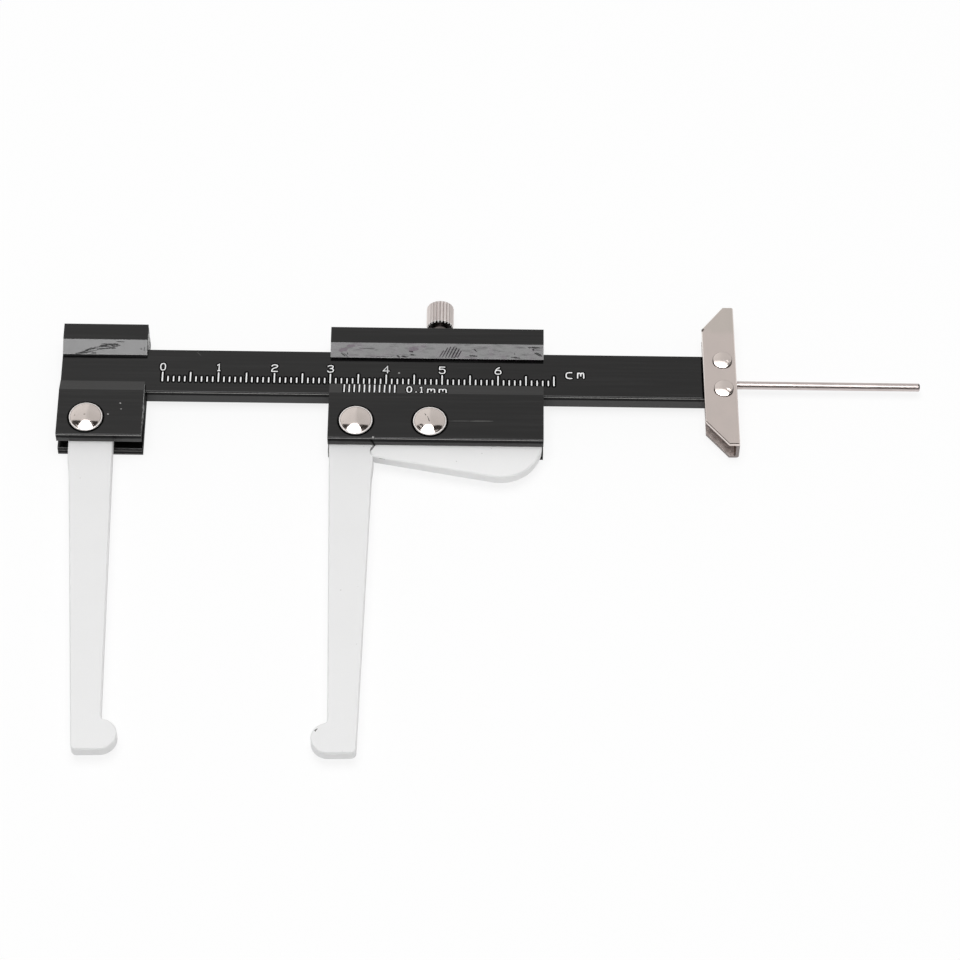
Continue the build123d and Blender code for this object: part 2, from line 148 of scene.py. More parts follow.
def smooth_path(points, loop, steps=4):
    """A Catmull-Rom curve through the points."""
    count = len(points)
    spans = count if loop else count - 1
    path = []
    for span in range(spans):
        corners = []
        for shift in (-1, 0, 1, 2):
            place = span + shift
            place = place % count if loop else min(max(place, 0), count - 1)
            corners.append(Vector(points[place]))
        before, start, end, after = corners
        for step in range(steps):
            t = step / steps
            path.append(0.5 * (2 * start + (end - before) * t
                               + (2 * before - 5 * start + 4 * end - after) * t ** 2
                               + (3 * start - before - 3 * end + after) * t ** 3))
    if not loop:
        path.append(Vector(points[-1]))
    return path


def stroke_edges(path, width, loop):
    """The points on the left and on the right of a pen path."""
    lefts = []
    rights = []
    count = len(path)
    for place, point in enumerate(path):
        arriving = point - path[place - 1] if loop or place > 0 else None
        leaving = path[(place + 1) % count] - point if loop or place < count - 1 else None
        arriving = (arriving or leaving).normalized()
        leaving = (leaving or arriving).normalized()
        along = (arriving + leaving).normalized()
        side = Vector((-along.y, along.x))
        reach = 0.5 * width / max(side.dot(Vector((-leaving.y, leaving.x))), 0.6)
        lefts.append(point + side * reach)
        rights.append(point - side * reach)
    return lefts, rights


def round_end(centre, rim_start, steps=5):
    """The points of a half circle round a stroke's end, clockwise from rim_start, without its two ends."""
    arm = rim_start - centre
    points = []
    for step in range(1, steps):
        angle = -math.pi * step / steps
        points.append(centre + Vector((arm.x * math.cos(angle) - arm.y * math.sin(angle),
                                       arm.x * math.sin(angle) + arm.y * math.cos(angle))))
    return points


def ink_stroke(path, width, loop):
    """The outlines of a stroke as rings of points, and its flat faces over those points."""
    lefts, rights = stroke_edges(path, width, loop)
    count = len(path)
    if loop:
        faces = []
        for place in range(count):
            after = (place + 1) % count
            faces.append((place, count + place, count + after, after))
        return [lefts, rights], faces
    far_end = round_end(path[-1], lefts[-1])
    near_end = round_end(path[0], rights[0])
    ring = lefts + far_end + rights[::-1] + near_end
    last = len(ring) - len(near_end) - 1
    faces = []
    for place in range(count - 1):
        faces.append((place, last - place, last - place - 1, place + 1))
    faces.append(tuple(range(count - 1, count + len(far_end) + 1)))
    faces.append((last,) + tuple(range(last + 1, len(ring))) + (0,))
    return [ring], faces


def ink_print(name, strokes, lay, body, material, layer=INK_HEIGHT, rim=0.0):
    """One piece of raised print: strokes are (path, width, loop), and lay puts a flat point on the gauge."""
    points = []
    faces = []
    for number, (path, width, loop) in enumerate(strokes):
        rings, tops = ink_stroke(path, width + 2 * rim, loop)
        flat = [point for ring in rings for point in ring]
        low = len(points)
        high = low + len(flat)
        for height in (-INK_DEPTH, layer + INK_STEP * (number % 3)):
            points += [as_metres(*lay(point.x, point.y, height)) for point in flat]
        for top in tops:
            faces.append(tuple(high + place for place in reversed(top)))
            faces.append(tuple(low + place for place in top))
        start = 0
        for turn, ring in enumerate(rings):
            for place in range(len(ring)):
                here = start + place
                after = start + (place + 1) % len(ring)
                wall = (low + here, high + here, high + after, low + after)
                faces.append(wall if turn == 0 else wall[::-1])
            start += len(ring)
    mesh = new_mesh(name, points, faces, material)
    mesh.validate()
    mesh.update()
    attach(add_object(name, mesh), body)


def character_strokes(character, x, y, wide, tall, pen):
    """The strokes of one character with its foot at (x, y)."""
    strokes = []
    for points, manner in CHARACTERS[character]:
        placed = [Vector((x + point[0] * wide, y + point[1] * tall)) for point in points]
        loop = manner == "loop"
        if manner != "straight":
            placed = smooth_path(placed, loop)
        strokes.append((placed, pen, loop))
    return strokes


def tick_stroke(x, foot, top, cap):
    """One upright tick, drawn a cap short at both ends."""
    return [Vector((x, foot + cap)), Vector((x, top - cap))], TICK_WIDTH, False


def on_bar_face(x, y, height):
    """A point of the bar's scale, with x counted from the scale's zero."""
    return SCALE_ZERO_X + x, y, BAR_FACE_Z + height


def on_vernier(x, down, height):
    """A point on the slider's vernier bevel, with down counted along the bevel from its upper edge."""
    run = Vector((VERNIER_FOOT[0] - VERNIER_TOP[0], VERNIER_FOOT[1] - VERNIER_TOP[1])).normalized()
    out = Vector((-run.y, run.x)) * -height
    return x, VERNIER_TOP[0] + run.x * down + out.x, VERNIER_TOP[1] + run.y * down + out.y


def print_scales(ink, ground):
    """The printed scale on the bar and the vernier print on the slider, each on its matt black ground."""
    ticks = []
    numbers = []
    for millimetre in range(TICKS_ON_SCALE):
        top = SHORT_TICK_TOP_Y if millimetre % LONG_TICK_EVERY else LONG_TICK_TOP_Y
        ticks.append(tick_stroke(millimetre, TICK_FOOT_Y, top, SCALE_TICK_CAP))
        if millimetre % MM_PER_NUMBER == 0 and millimetre < TICKS_ON_SCALE - 1:
            character = str(millimetre // MM_PER_NUMBER)
            numbers += character_strokes(character, millimetre, NUMBER_FOOT_Y, 1.0, 1.0, NUMBER_PEN)
    letters = []
    for character, x, y, wide, tall in UNIT_LETTERS:
        letters += character_strokes(character, x, y, wide, tall, UNIT_PEN)
    vernier = []
    for tick in range(VERNIER_TICKS):
        x = VERNIER_ZERO_X + tick * VERNIER_STEP
        vernier.append(tick_stroke(x, VERNIER_TICK_START, VERNIER_TICK_END, VERNIER_TICK_CAP))
    words = []
    for character, x, rise, wide, tall in VERNIER_TEXT:
        strokes = character_strokes(character, 0.0, rise, wide, tall * VERNIER_TEXT_TALL, VERNIER_PEN)
        for path, pen, loop in strokes:
            turned = [Vector((SCALE_ZERO_X + x + point.x, VERNIER_TEXT_FOOT - point.y)) for point in path]
            words.append((turned, pen, loop))
    for name, ground_name, strokes, lay, body, rim in (
            ("scale_ticks", "scale_tick_ground", ticks, on_bar_face, "beam", TICK_GROUND_RIM),
            ("scale_numbers", "scale_number_ground", numbers, on_bar_face, "beam", GROUND_RIM),
            ("scale_unit", "scale_unit_ground", letters, on_bar_face, "beam", GROUND_RIM),
            ("vernier_ticks", "vernier_tick_ground", vernier, on_vernier, "slider", GROUND_RIM),
            ("vernier_words", "vernier_word_ground", words, on_vernier, "slider", GROUND_RIM)):
        ink_print(name, strokes, lay, body, ink)
        ink_print(ground_name, strokes, lay, body, ground, GROUND_HEIGHT, rim)


# Turned rivets

TURNED_STEPS = 72
HAMMERED_SIZE = 1.3
HAMMERED_DEPTH = 0.035
HEAD_DEPTH = 0.75
SHEET_FACE_Z = 5.355
SHARP_ANGLE = math.radians(35.0)
STRUCK_Z = 5.95


def bent_profile(start, corner, end, steps):
    """Points of a smooth bend from start to end, pulled towards the corner, without its start."""
    points = []
    for step in range(1, steps + 1):
        t = step / steps
        points.append(tuple((1 - t) ** 2 * a + 2 * t * (1 - t) * b + t * t * c
                            for a, b, c in zip(start, corner, end)))
    return points


def domed_head_outline():
    """Section of a plate rivet from its crown to the middle of its tail, as (radius, height)."""
    crown_z = 7.5
    seat_z = PLATE_FACE_Z
    dome_edge = 2.66
    rim = 2.97
    edge_slope = math.radians(29.0)
    ball = dome_edge / math.sin(edge_slope)
    outline = []
    for step in range(17):
        angle = edge_slope * step / 16
        outline.append((ball * math.sin(angle), crown_z - ball * (1 - math.cos(angle))))
    lip_z = outline[-1][1] - 0.02
    outline += bent_profile(outline[-1], (dome_edge + 0.05, lip_z), (dome_edge + 0.14, lip_z), 4)
    outline += bent_profile(outline[-1], (rim, lip_z), (rim, seat_z + 0.08), 6)
    outline += [(rim, seat_z + 0.03), (rim - 0.03, seat_z), (1.5, seat_z), (1.5, 0.5), (2.0, 0.0), (0.0, 0.0)]
    return outline


def blunt_head_outline():
    """Section of a base rivet: a low blunt cone, its shank and its tail."""
    outline = [(0.0, STRUCK_Z), (0.3, STRUCK_Z), (0.6, STRUCK_Z), (0.9, STRUCK_Z), (1.2, STRUCK_Z),
               (1.4, STRUCK_Z), (1.56, STRUCK_Z)]
    outline += bent_profile(outline[-1], (1.74, STRUCK_Z), (1.75, STRUCK_Z - 0.16), 6)
    outline += [(1.75, 5.36), (1.74, 5.35), (0.9, 5.35), (0.9, 0.75), (1.2, 0.75), (0.9, 0.45), (0.0, 0.45)]
    return outline


def struck_face(x, y):
    """Height of a base rivet's head over its middle: flat above, falling away towards the jaws."""
    fall = max(-y - 0.05, 0.0)
    rise = max(y - 0.1, 0.0)
    return STRUCK_Z - 0.16 * fall - 0.075 * fall ** 2 - 0.15 * rise - (x - 0.45) ** 2 / 34.0


def turned_piece(node, body, centre, outline, finish, hammered, dents=(), face=None, bands=()):
    """A closed rivet turned round its upright axis, a little uneven on its head.

    face gives the head's height where it isn't turned; bands are (inner radius, outer radius, finish).
    """
    centre_x, centre_y = centre
    top = max(height for radius, height in outline)
    points = []
    for radius, height in outline[1:-1]:
        for step in range(TURNED_STEPS):
            angle = 2 * math.pi * step / TURNED_STEPS
            x = centre_x + radius * math.cos(angle)
            y = centre_y + radius * math.sin(angle)
            z = height
            if face and height > SHEET_FACE_Z:
                z = max(face(x - centre_x, y - centre_y) + height - top, SHEET_FACE_Z)
            if height > top - HEAD_DEPTH:
                z -= hammered * (0.5 + 0.5 * noise_at(Vector((x, y, 0.0)) / HAMMERED_SIZE))
                for dent_x, dent_y, size, depth in dents:
                    away = math.hypot(x - centre_x - dent_x, y - centre_y - dent_y) / size
                    z -= depth * math.exp(-away * away)
            points.append(as_metres(x, y, z))
    crown = len(points)
    crown_z = face(0.0, 0.0) if face else outline[0][1] - hammered * 0.5
    points.append(as_metres(centre_x, centre_y, crown_z))
    points.append(as_metres(centre_x, centre_y, outline[-1][1]))
    faces = []
    last = (len(outline) - 3) * TURNED_STEPS
    for step in range(TURNED_STEPS):
        after = (step + 1) % TURNED_STEPS
        faces.append((crown, step, after))
        for low in range(0, last, TURNED_STEPS):
            high = low + TURNED_STEPS
            faces.append((low + step, high + step, high + after, low + after))
        faces.append((last + step, crown + 1, last + after))
    mesh = new_mesh(node + "_turned", points, faces, finish)
    mesh.shade_smooth()
    mesh.set_sharp_from_angle(angle=SHARP_ANGLE)
    for number, (inner, outer, band) in enumerate(bands):
        mesh.materials.append(band)
        for polygon in mesh.polygons:
            x, y, z = polygon.center / MILLIMETRE
            if inner < math.hypot(x - centre_x, y - centre_y) < outer and z > SHEET_FACE_Z + 0.01:
                polygon.material_index = number + 1
    piece = add_object(node + "_turned", mesh)
    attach(piece, body)
    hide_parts(node)


RIVET_MARKS = [
    (57.46, -9.98, 7.30, 57.76, -10.72, 7.42, 0.17), (58.22, -11.45, 7.48, 58.42, -12.05, 7.44, 0.17),
    (58.05, -11.05, 7.46, 58.20, -11.35, 7.47, 0.10), (-4.36, -11.45, 7.15, -4.30, -11.52, 7.15, 0.26),
    (-3.15, -9.45, 7.1, -2.85, -9.38, 7.1, 0.12), (-2.68, -11.30, 7.46, -2.52, -11.62, 7.46, 0.09),
    (-2.68, -11.62, 7.46, -2.40, -11.40, 7.46, 0.08), (44.0, -11.6, 7.2, 44.2, -11.75, 7.2, 0.10),
]
RIVET_DENTS = {
    "fixed_jaw_rivet": [(-2.1, 0.9, 0.30, 0.05), (1.9, -0.5, 0.22, 0.03)],
    "moving_jaw_rivet": [(1.2, 1.6, 0.25, 0.04)],
    "thumb_plate_rivet": [(-1.5, -1.3, 0.20, 0.06), (0.9, 1.9, 0.25, 0.04)],
    "depth_base_rivet_upper": [(0.80, -0.45, 0.13, 0.030)],
    "depth_base_rivet_lower": [(0.75, -0.50, 0.16, 0.060)],
}


def set_rivets(plated, rim_highlight, dull, sheet_plated, foot_shade):
    """The three domed plate rivets and the two blunt ones of the depth base."""
    domed = domed_head_outline()
    # Painted shade in the groove round each dome, and a painted highlight on the rim beyond it
    bands = [(2.64, 2.72, dull), (2.76, 3.0, rim_highlight)]
    for node, x in RIVET_PLACES.items():
        body = "beam" if node == "fixed_jaw_rivet" else "slider"
        turned_piece(node, body, (x, RIVET_Y), domed, plated, HAMMERED_DEPTH,
                     RIVET_DENTS[node], bands=bands)
    blunt = blunt_head_outline()
    for node, place in BASE_RIVET_PLACES.items():
        # Each base rivet gets a ring of painted shade round its foot
        turned_piece(node, "beam", place, blunt, sheet_plated, 0.0, RIVET_DENTS[node],
                     face=struck_face, bands=[(1.66, 1.80, foot_shade)])


# Shader nodes

FLOAT = "NodeSocketFloat"
VECTOR = "NodeSocketVector"


def feed(socket, value):
    """Puts a number, a colour or a Value on a socket."""
    if isinstance(value, Value):
        socket.id_data.links.new(value.socket, socket)
    elif socket.type == "RGBA":
        socket.default_value = (*value, 1.0)
    else:
        socket.default_value = value


def add_node(tree, kind, inputs=None, **settings):
    """A shader node with its settings and its inputs."""
    made = tree.nodes.new(kind)
    for name, value in settings.items():
        setattr(made, name, value)
    for name, value in (inputs or {}).items():
        feed(made.inputs[name], value)
    return made


def made_by(tree, kind, output, inputs=None, **settings):
    """One output of a new node."""
    return Value(add_node(tree, kind, inputs, **settings).outputs[output])


def maths(tree, operation, first, second=0.0):
    """The result of a Math node."""
    return made_by(tree, "ShaderNodeMath", "Value", {0: first, 1: second, 2: 0.0}, operation=operation)


class Value:
    """A node's output, which can be reckoned with."""

    def __init__(self, socket):
        self.socket = socket
        self.tree = socket.id_data

    def __mul__(self, other):
        return maths(self.tree, "MULTIPLY", self, other)

    def __add__(self, other):
        return maths(self.tree, "ADD", self, other)

    def __sub__(self, other):
        return maths(self.tree, "SUBTRACT", self, other)

    def __rsub__(self, other):
        return maths(self.tree, "SUBTRACT", other, self)

    def __truediv__(self, other):
        return maths(self.tree, "DIVIDE", self, other)

    def __rtruediv__(self, other):
        return maths(self.tree, "DIVIDE", other, self)

    def __pow__(self, other):
        return maths(self.tree, "POWER", self, other)

    def __abs__(self):
        return maths(self.tree, "ABSOLUTE", self)

    def larger(self, other):
        """The larger of the two."""
        return maths(self.tree, "MAXIMUM", self, other)

    def vector(self, operation, other=(0.0, 0.0, 0.0), output="Vector"):
        """The result of a Vector Math node."""
        return made_by(self.tree, "ShaderNodeVectorMath", output, {0: self, 1: other}, operation=operation)

    def scaled(self, factor):
        """The vector times a number."""
        inputs = {0: self, "Scale": factor}
        return made_by(self.tree, "ShaderNodeVectorMath", "Vector", inputs, operation="SCALE")

    def axes(self):
        """The vector's x, y and z."""
        return [Value(output) for output in add_node(self.tree, "ShaderNodeSeparateXYZ", {0: self}).outputs]

    def ramp(self, low, high, to_low=0.0, to_high=1.0, manner="SMOOTHSTEP"):
        """The value moved from one range to another and kept inside it."""
        return made_by(self.tree, "ShaderNodeMapRange", "Result", {
            "Value": self, "From Min": low, "From Max": high, "To Min": to_low, "To Max": to_high,
        }, interpolation_type=manner)

    def fall(self, low, high):
        """1 up to the low value, 0 from the high one."""
        return self.ramp(low, high, 1.0, 0.0)

    def spread(self, to_low, to_high, low=0.3, high=0.7):
        """The value moved evenly to another range."""
        return self.ramp(low, high, to_low, to_high, "LINEAR")

    def blend(self, first, second):
        """The first colour where the value is 0 and the second where it is 1."""
        inputs = {"Factor": self, 6: first, 7: second}
        return made_by(self.tree, "ShaderNodeMix", 2, inputs, data_type="RGBA")

    def between(self, first, second):
        """The first number where the value is 0 and the second where it is 1."""
        inputs = {"Factor": self, 2: first, 3: second}
        return made_by(self.tree, "ShaderNodeMix", 0, inputs, data_type="FLOAT")

    def noise(self, scale, detail=2.0, roughness=0.5, seed=0.0):
        """A noise texture at this place."""
        return made_by(self.tree, "ShaderNodeTexNoise", "Fac", {
            "Vector": self, "Scale": scale, "Detail": detail, "Roughness": roughness, "W": seed,
        }, noise_dimensions="4D")

    def group(self, group, **inputs):
        """The outputs of a shared effect at this place, by name."""
        made = add_node(self.tree, "ShaderNodeGroup", node_tree=group)
        for label, value in {"Place": self, **inputs}.items():
            feed(made.inputs[label], value)
        return {output.name: Value(output) for output in made.outputs}


def strongest(masks):
    """The highest of several masks at each point."""
    result = masks[0]
    for mask in masks[1:]:
        result = result.larger(mask)
    return result


def shader_group(name, inputs, outputs):
    """A node group: its tree, its inputs as Values and the sockets of its outputs."""
    tree = bpy.data.node_groups.new(name, "ShaderNodeTree")
    for label, kind, value in [("Place", VECTOR, (0.0, 0.0, 0.0))] + inputs:
        tree.interface.new_socket(label, in_out="INPUT", socket_type=kind).default_value = value
    for label in outputs:
        tree.interface.new_socket(label, in_out="OUTPUT", socket_type=FLOAT)
    given = {output.name: Value(output) for output in tree.nodes.new("NodeGroupInput").outputs}
    return tree, given, tree.nodes.new("NodeGroupOutput").inputs


# Effects that several finishes share

def build_line_mark():
    """A ragged mark along a straight line: a gouge, a scratch, a worn edge, a dot, and also painted shade and
    painted highlight lines.
    """
    tree, given, result = shader_group("line_mark", [
        ("Start", VECTOR, (0.0, 0.0, 0.0)), ("End", VECTOR, (1.0, 0.0, 0.0)),
        ("Width", FLOAT, 0.2), ("Ragged", FLOAT, 0.3), ("Taper", FLOAT, 0.5),
    ], ["Mask"])
    run = given["End"].vector("SUBTRACT", given["Start"])
    offset = given["Place"].vector("SUBTRACT", given["Start"])
    length = run.vector("DOT_PRODUCT", run, "Value")
    passed = offset.vector("DOT_PRODUCT", run, "Value")
    share = (passed / length.larger(0.0001)).spread(0.0, 1.0, 0.0, 1.0)
    distance = offset.vector("DISTANCE", run.scaled(share), "Value")
    thinning = (abs(share - 0.5) * 2.0) ** 2.5 * given["Taper"]
    half = given["Width"] * 0.5 * (1.0 - thinning)
    rough = (given["Place"].noise(3.2, 3.0, 0.6) - 0.5) * given["Ragged"] * given["Width"]
    ratio = (distance + rough * 2.0) / half.larger(0.0001)
    feed(result["Mask"], ratio.fall(0.62, 1.15))
    return tree


def build_lint_specks():
    """Rare small specks of lint or pits, scattered at random."""
    tree, given, result = shader_group("lint_specks", [
        ("Spacing", FLOAT, 2.0), ("Size", FLOAT, 0.1), ("Share", FLOAT, 0.5),
    ], ["Mask"])
    closeness = 1.0 / given["Spacing"]
    cells = add_node(tree, "ShaderNodeTexVoronoi", {"Vector": given["Place"], "Scale": closeness})
    drawn = add_node(tree, "ShaderNodeSeparateColor", {"Color": Value(cells.outputs["Color"])})
    away = Value(cells.outputs["Distance"]) * given["Spacing"]
    radius = given["Size"] * (Value(drawn.outputs["Green"]) + 0.5)
    chosen = maths(tree, "LESS_THAN", Value(drawn.outputs["Red"]), given["Share"])
    feed(result["Mask"], (away / radius).fall(0.6, 1.0) * chosen)
    return tree


def build_drawn_grain():
    """Fine lines left along one direction by drawing, rolling or polishing."""
    tree, given, result = shader_group("drawn_grain", [
        ("Stretch", VECTOR, (0.05, 4.0, 4.0)), ("Seed", FLOAT, 0.0),
    ], ["Lines", "Faint"])
    drawn_out = given["Place"].vector("MULTIPLY", given["Stretch"])
    feed(result["Lines"], drawn_out.noise(1.0, 4.0, 0.62, given["Seed"]))
    feed(result["Faint"], drawn_out.noise(0.31, 2.0, 0.5, given["Seed"]))
    return tree


def build_cloudy_tone():
    """Soft clouds of handling and uneven plating."""
    tree, given, result = shader_group("cloudy_tone", [
        ("Size", FLOAT, 4.0), ("Seed", FLOAT, 0.0),
    ], ["Cloud"])
    cloud = given["Place"].scaled(1.0 / given["Size"]).noise(1.0, 3.0, 0.55, given["Seed"])
    feed(result["Cloud"], cloud)
    return tree


def build_rivet_shade_ring():
    """A round patch of painted shade, dead black, beneath and beside a rivet's head."""
    tree, given, result = shader_group("painted_rivet_shade", [
        ("Centre", VECTOR, (0.0, 0.0, 0.0)), ("Radius", FLOAT, 3.2),
    ], ["Mask"])
    level = given["Place"].vector("SUBTRACT", given["Centre"]).vector("MULTIPLY", (1.0, 1.0, 0.0))
    uneven = (given["Place"].noise(1.6) - 0.5) * 0.16
    over = level.vector("LENGTH", output="Value") + uneven - given["Radius"]
    feed(result["Mask"], over.fall(-0.10, 0.10))
    return tree


LINE_MARK = build_line_mark()
RIVET_SHADE_RING = build_rivet_shade_ring()
LINT_SPECKS = build_lint_specks()
DRAWN_GRAIN = build_drawn_grain()
CLOUDY_TONE = build_cloudy_tone()


# Finishes

BLACK = (0.0025, 0.0025, 0.0027)
WORN_BLACK = (0.014, 0.014, 0.014)
# The dead black of the painted shade rings round the plate rivets
DEAD_BLACK = (0.0018, 0.0018, 0.0018)
GOUGED_BLACK = (0.020, 0.020, 0.020)
SCRATCHED_BLACK = (0.075, 0.074, 0.072)
BEVEL_TINT = (0.020, 0.012, 0.019)
BARE_ALUMINIUM = (0.82, 0.82, 0.81)
LINT = (0.35, 0.345, 0.34)
FAINT_LINT = (0.060, 0.059, 0.058)
PIT_DARK = (0.10, 0.09, 0.085)
WHITE = (1.0, 1.0, 1.0)
SHADE_RING_RADIUS = 3.32
UPPER_BEVEL_LOW = (2.93, 5.25)
UPPER_BEVEL_HIGH_Y = 5.38
FOLD_FRONT_Z = (4.66, 4.69)
FOLD_BACK_Z = (1.36, 1.39)
FOLD_WEB_X = (112.62, 112.66)
# Painted shade and a painted highlight along the depth base's left edge, beside the bar
SHEET_EDGE_SHADE = [(107.25, -4.9, 5.35, 107.36, -9.7, 5.2, 0.34), (107.30, 10.0, 5.3, 107.18, 9.8, 5.3, 0.7)]
SHEET_EDGE_HIGHLIGHT = [(107.36, -9.6, 5.35, 107.19, 9.9, 5.35, 0.30)]
KNOB_AXIS = (59.96, 0.0, 3.05)
KNOB_NEAR_Y = 10.98
KNOB_TEETH = 22


def bare_material(name):
    """A material without nodes, and its tree."""
    material = bpy.data.materials.new(name)
    material.use_nodes = True
    material.node_tree.nodes.clear()
    return material, material.node_tree


def start_finish(name, **constants):
    """A material, its shader's inputs, and the place on the gauge in millimetres."""
    material, tree = bare_material(name)
    shader = add_node(tree, "ShaderNodeBsdfPrincipled")
    for label, value in constants.items():
        shader.inputs[label].default_value = value
    add_node(tree, "ShaderNodeOutputMaterial", {"Surface": Value(shader.outputs["BSDF"])})
    return material, shader.inputs, made_by(tree, "ShaderNodeTexCoord", "Object").scaled(1.0 / MILLIMETRE)


def dress(shader, colour, roughness, height=None, metallic=None):
    """Puts the tone, the roughness, the height of the grain in millimetres and the metal on a shader."""
    feed(shader["Base Color"], colour)
    feed(shader["Roughness"], roughness)
    if metallic is not None:
        feed(shader["Metallic"], metallic)
    if height is not None:
        raised = {"Height": height, "Distance": MILLIMETRE, "Strength": 1.0}
        feed(shader["Normal"], made_by(height.tree, "ShaderNodeBump", "Normal", raised))


def line_marks(place, marks, ragged=0.3, taper=0.5):
    """The mask of several marks, each one given by its start, its end and its width."""
    masks = []
    for *ends, width in marks:
        mark = place.group(LINE_MARK, Start=ends[:3], End=ends[3:], Width=width, Ragged=ragged, Taper=taper)
        masks.append(mark["Mask"])
    return strongest(masks)


def on_bevel(marks):
    """Marks on the upper lip's bevel, from their x and y there."""
    low_y, low_z = UPPER_BEVEL_LOW
    slope = (PLATE_FACE_Z - low_z) / (UPPER_BEVEL_HIGH_Y - low_y)
    return [(x, y, low_z + (y - low_y) * slope, end_x, end_y, low_z + (end_y - low_y) * slope, width)
            for x, y, end_x, end_y, width in marks]


def black_anodised(name, seed, gouges=(), bare=(), lint=(), scratches=(), rivets=(), shades=(),
                   scuffs=(), tinted=False, smudged=0.0, bevel_tone=None):
    """Satin black anodised aluminium with drawing lines, marks, worn spots, lint and painted shade rings
    round its rivets.

    shades are (marks, colour, deadness, ragged): lines of another tone, dead where they mirror less; they
    carry real marks, painted shade bands and painted highlight lines.
    """
    material, shader, place = start_finish(name, IOR=1.5)
    lines = place.group(DRAWN_GRAIN, Stretch=(0.05, 3.0, 3.0), Seed=seed)["Lines"]
    cloud = place.group(CLOUDY_TONE, Size=5.0, Seed=seed)["Cloud"]
    specks = place.group(LINT_SPECKS, Spacing=2.2, Size=0.09, Share=0.35)["Mask"]
    y = place.axes()[1]
    colour = lines.ramp(0.42, 0.80).blend(BLACK, WORN_BLACK)
    roughness = cloud.spread(0.13, 0.17, 0.25, 0.75)
    height = lines * 0.0016
    metallic = 0.0
    if tinted:
        bevel = y.ramp(2.7, 3.0) * y.fall(5.3, 5.5)
        tint = place.group(CLOUDY_TONE, Size=1.9, Seed=seed + 3.0)["Cloud"]
        share = bevel * tint.ramp(0.42, 0.70)
        colour = share.blend(colour, BEVEL_TINT)
        if bevel_tone:
            colour = bevel.blend(colour, bevel_tone)
        roughness = roughness + share * 0.05
        if smudged:
            streaks = place.group(DRAWN_GRAIN, Stretch=(0.45, 2.2, 2.2), Seed=seed + 5.0)["Lines"]
            metallic = streaks.ramp(0.46, 0.72, 0.0, smudged) * bevel
    if gouges:
        gouged = line_marks(place, on_bevel(gouges), 0.9, 0.7)
        if scuffs:
            streaks = place.group(DRAWN_GRAIN, Stretch=(0.9, 5.5, 5.5), Seed=seed + 1.0)["Lines"]
            scuffed = line_marks(place, on_bevel(scuffs), 0.5, 0.6)
            gouged = gouged.larger(scuffed * streaks.ramp(0.54, 0.63))
        colour = gouged.blend(colour, GOUGED_BLACK)
        metallic = (gouged * 0.72).larger(metallic)
        roughness = gouged.between(roughness, 0.45)
        height = height - gouged * 0.02
    if scratches:
        colour = line_marks(place, scratches, 0.2, 0.8).blend(colour, SCRATCHED_BLACK)
    normal = made_by(place.tree, "ShaderNodeNewGeometry", "True Normal")
    end_cut = abs(normal.axes()[0]).ramp(0.90, 0.98)
    if bare:
        ragged = place.noise(1.9, 3.0, 0.6, seed).ramp(0.38, 0.54)
        worn = line_marks(place, bare, 0.5, 0.3) * ragged * end_cut
        colour = worn.blend(colour, BARE_ALUMINIUM)
        roughness = worn.between(roughness, 0.45)
        metallic = worn.between(metallic, 0.2)
    colour = (specks * y.fall(2.6, 2.9)).blend(colour, FAINT_LINT)
    if lint:
        colour = line_marks(place, lint, 0.3, 0.0).blend(colour, LINT)
    for marks, tone, deadness, ragged in shades:
        shaded = line_marks(place, marks, ragged, 0.2)
        colour = shaded.blend(colour, tone)
        metallic = shaded.between(metallic, deadness)
    roughness = end_cut.between(roughness, 0.9)
    # Painted shade: a dead black ring round each rivet's head
    if rivets:
        ring_shade = strongest([place.group(RIVET_SHADE_RING, Centre=(x, RIVET_Y, 0.0), Radius=SHADE_RING_RADIUS)["Mask"]
                           for x in rivets])
        colour = ring_shade.blend(colour, DEAD_BLACK)
        metallic = ring_shade.larger(metallic)
        roughness = ring_shade.between(roughness, 0.6)
    dress(shader, colour, roughness, height, metallic)
    return material


def pale_plate(name, grey, pale, nicks):
    """Fine matt pale metal plate, tumbled, with small pits and faint handling marks."""
    material, shader, place = start_finish(name, IOR=1.45)
    cloud = place.group(CLOUDY_TONE, Size=7.0, Seed=2.0)["Cloud"]
    grain = place.noise(7.0, 3.0, 0.7)
    pits = place.group(LINT_SPECKS, Spacing=1.5, Size=0.10, Share=0.35)["Mask"]
    colour = cloud.blend(grey, pale)
    colour = grain.ramp(0.45, 0.80, 0.0, 0.10).blend(colour, (0.55, 0.55, 0.55))
    colour = (pits * 0.45).blend(colour, (0.30, 0.29, 0.28))
    colour = line_marks(place, nicks, 0.5, 0.4).blend(colour, (0.12, 0.118, 0.115))
    dress(shader, colour, cloud.spread(0.50, 0.62, 0.2, 0.8), grain * 0.012 - pits * 0.03, 0.15)
    return material


def nickel(name, colour, smoky, rough_low, rough_high, stretch, seed, grain_height, marks=(), metallic=1.0):
    """Nickel plate: cloudy tone, fine lines along one direction and a few small pits."""
    material, shader, place = start_finish(name, Metallic=metallic)
    grain = place.group(DRAWN_GRAIN, Stretch=stretch, Seed=seed)
    cloud = place.group(CLOUDY_TONE, Size=2.6, Seed=seed)["Cloud"]
    pits = place.group(LINT_SPECKS, Spacing=1.0, Size=0.07, Share=0.30)["Mask"]
    dark = pits * 0.5
    height = grain["Lines"] * grain_height - pits * 0.006
    if marks:
        marked = line_marks(place, marks, 0.5, 0.4)
        dark = dark.larger(marked)
        height = height - marked * 0.03
    tone = dark.blend(cloud.ramp(0.3, 0.75).blend(colour, smoky), PIT_DARK)
    dress(shader, tone, grain["Faint"].spread(rough_low, rough_high), height)
    return material


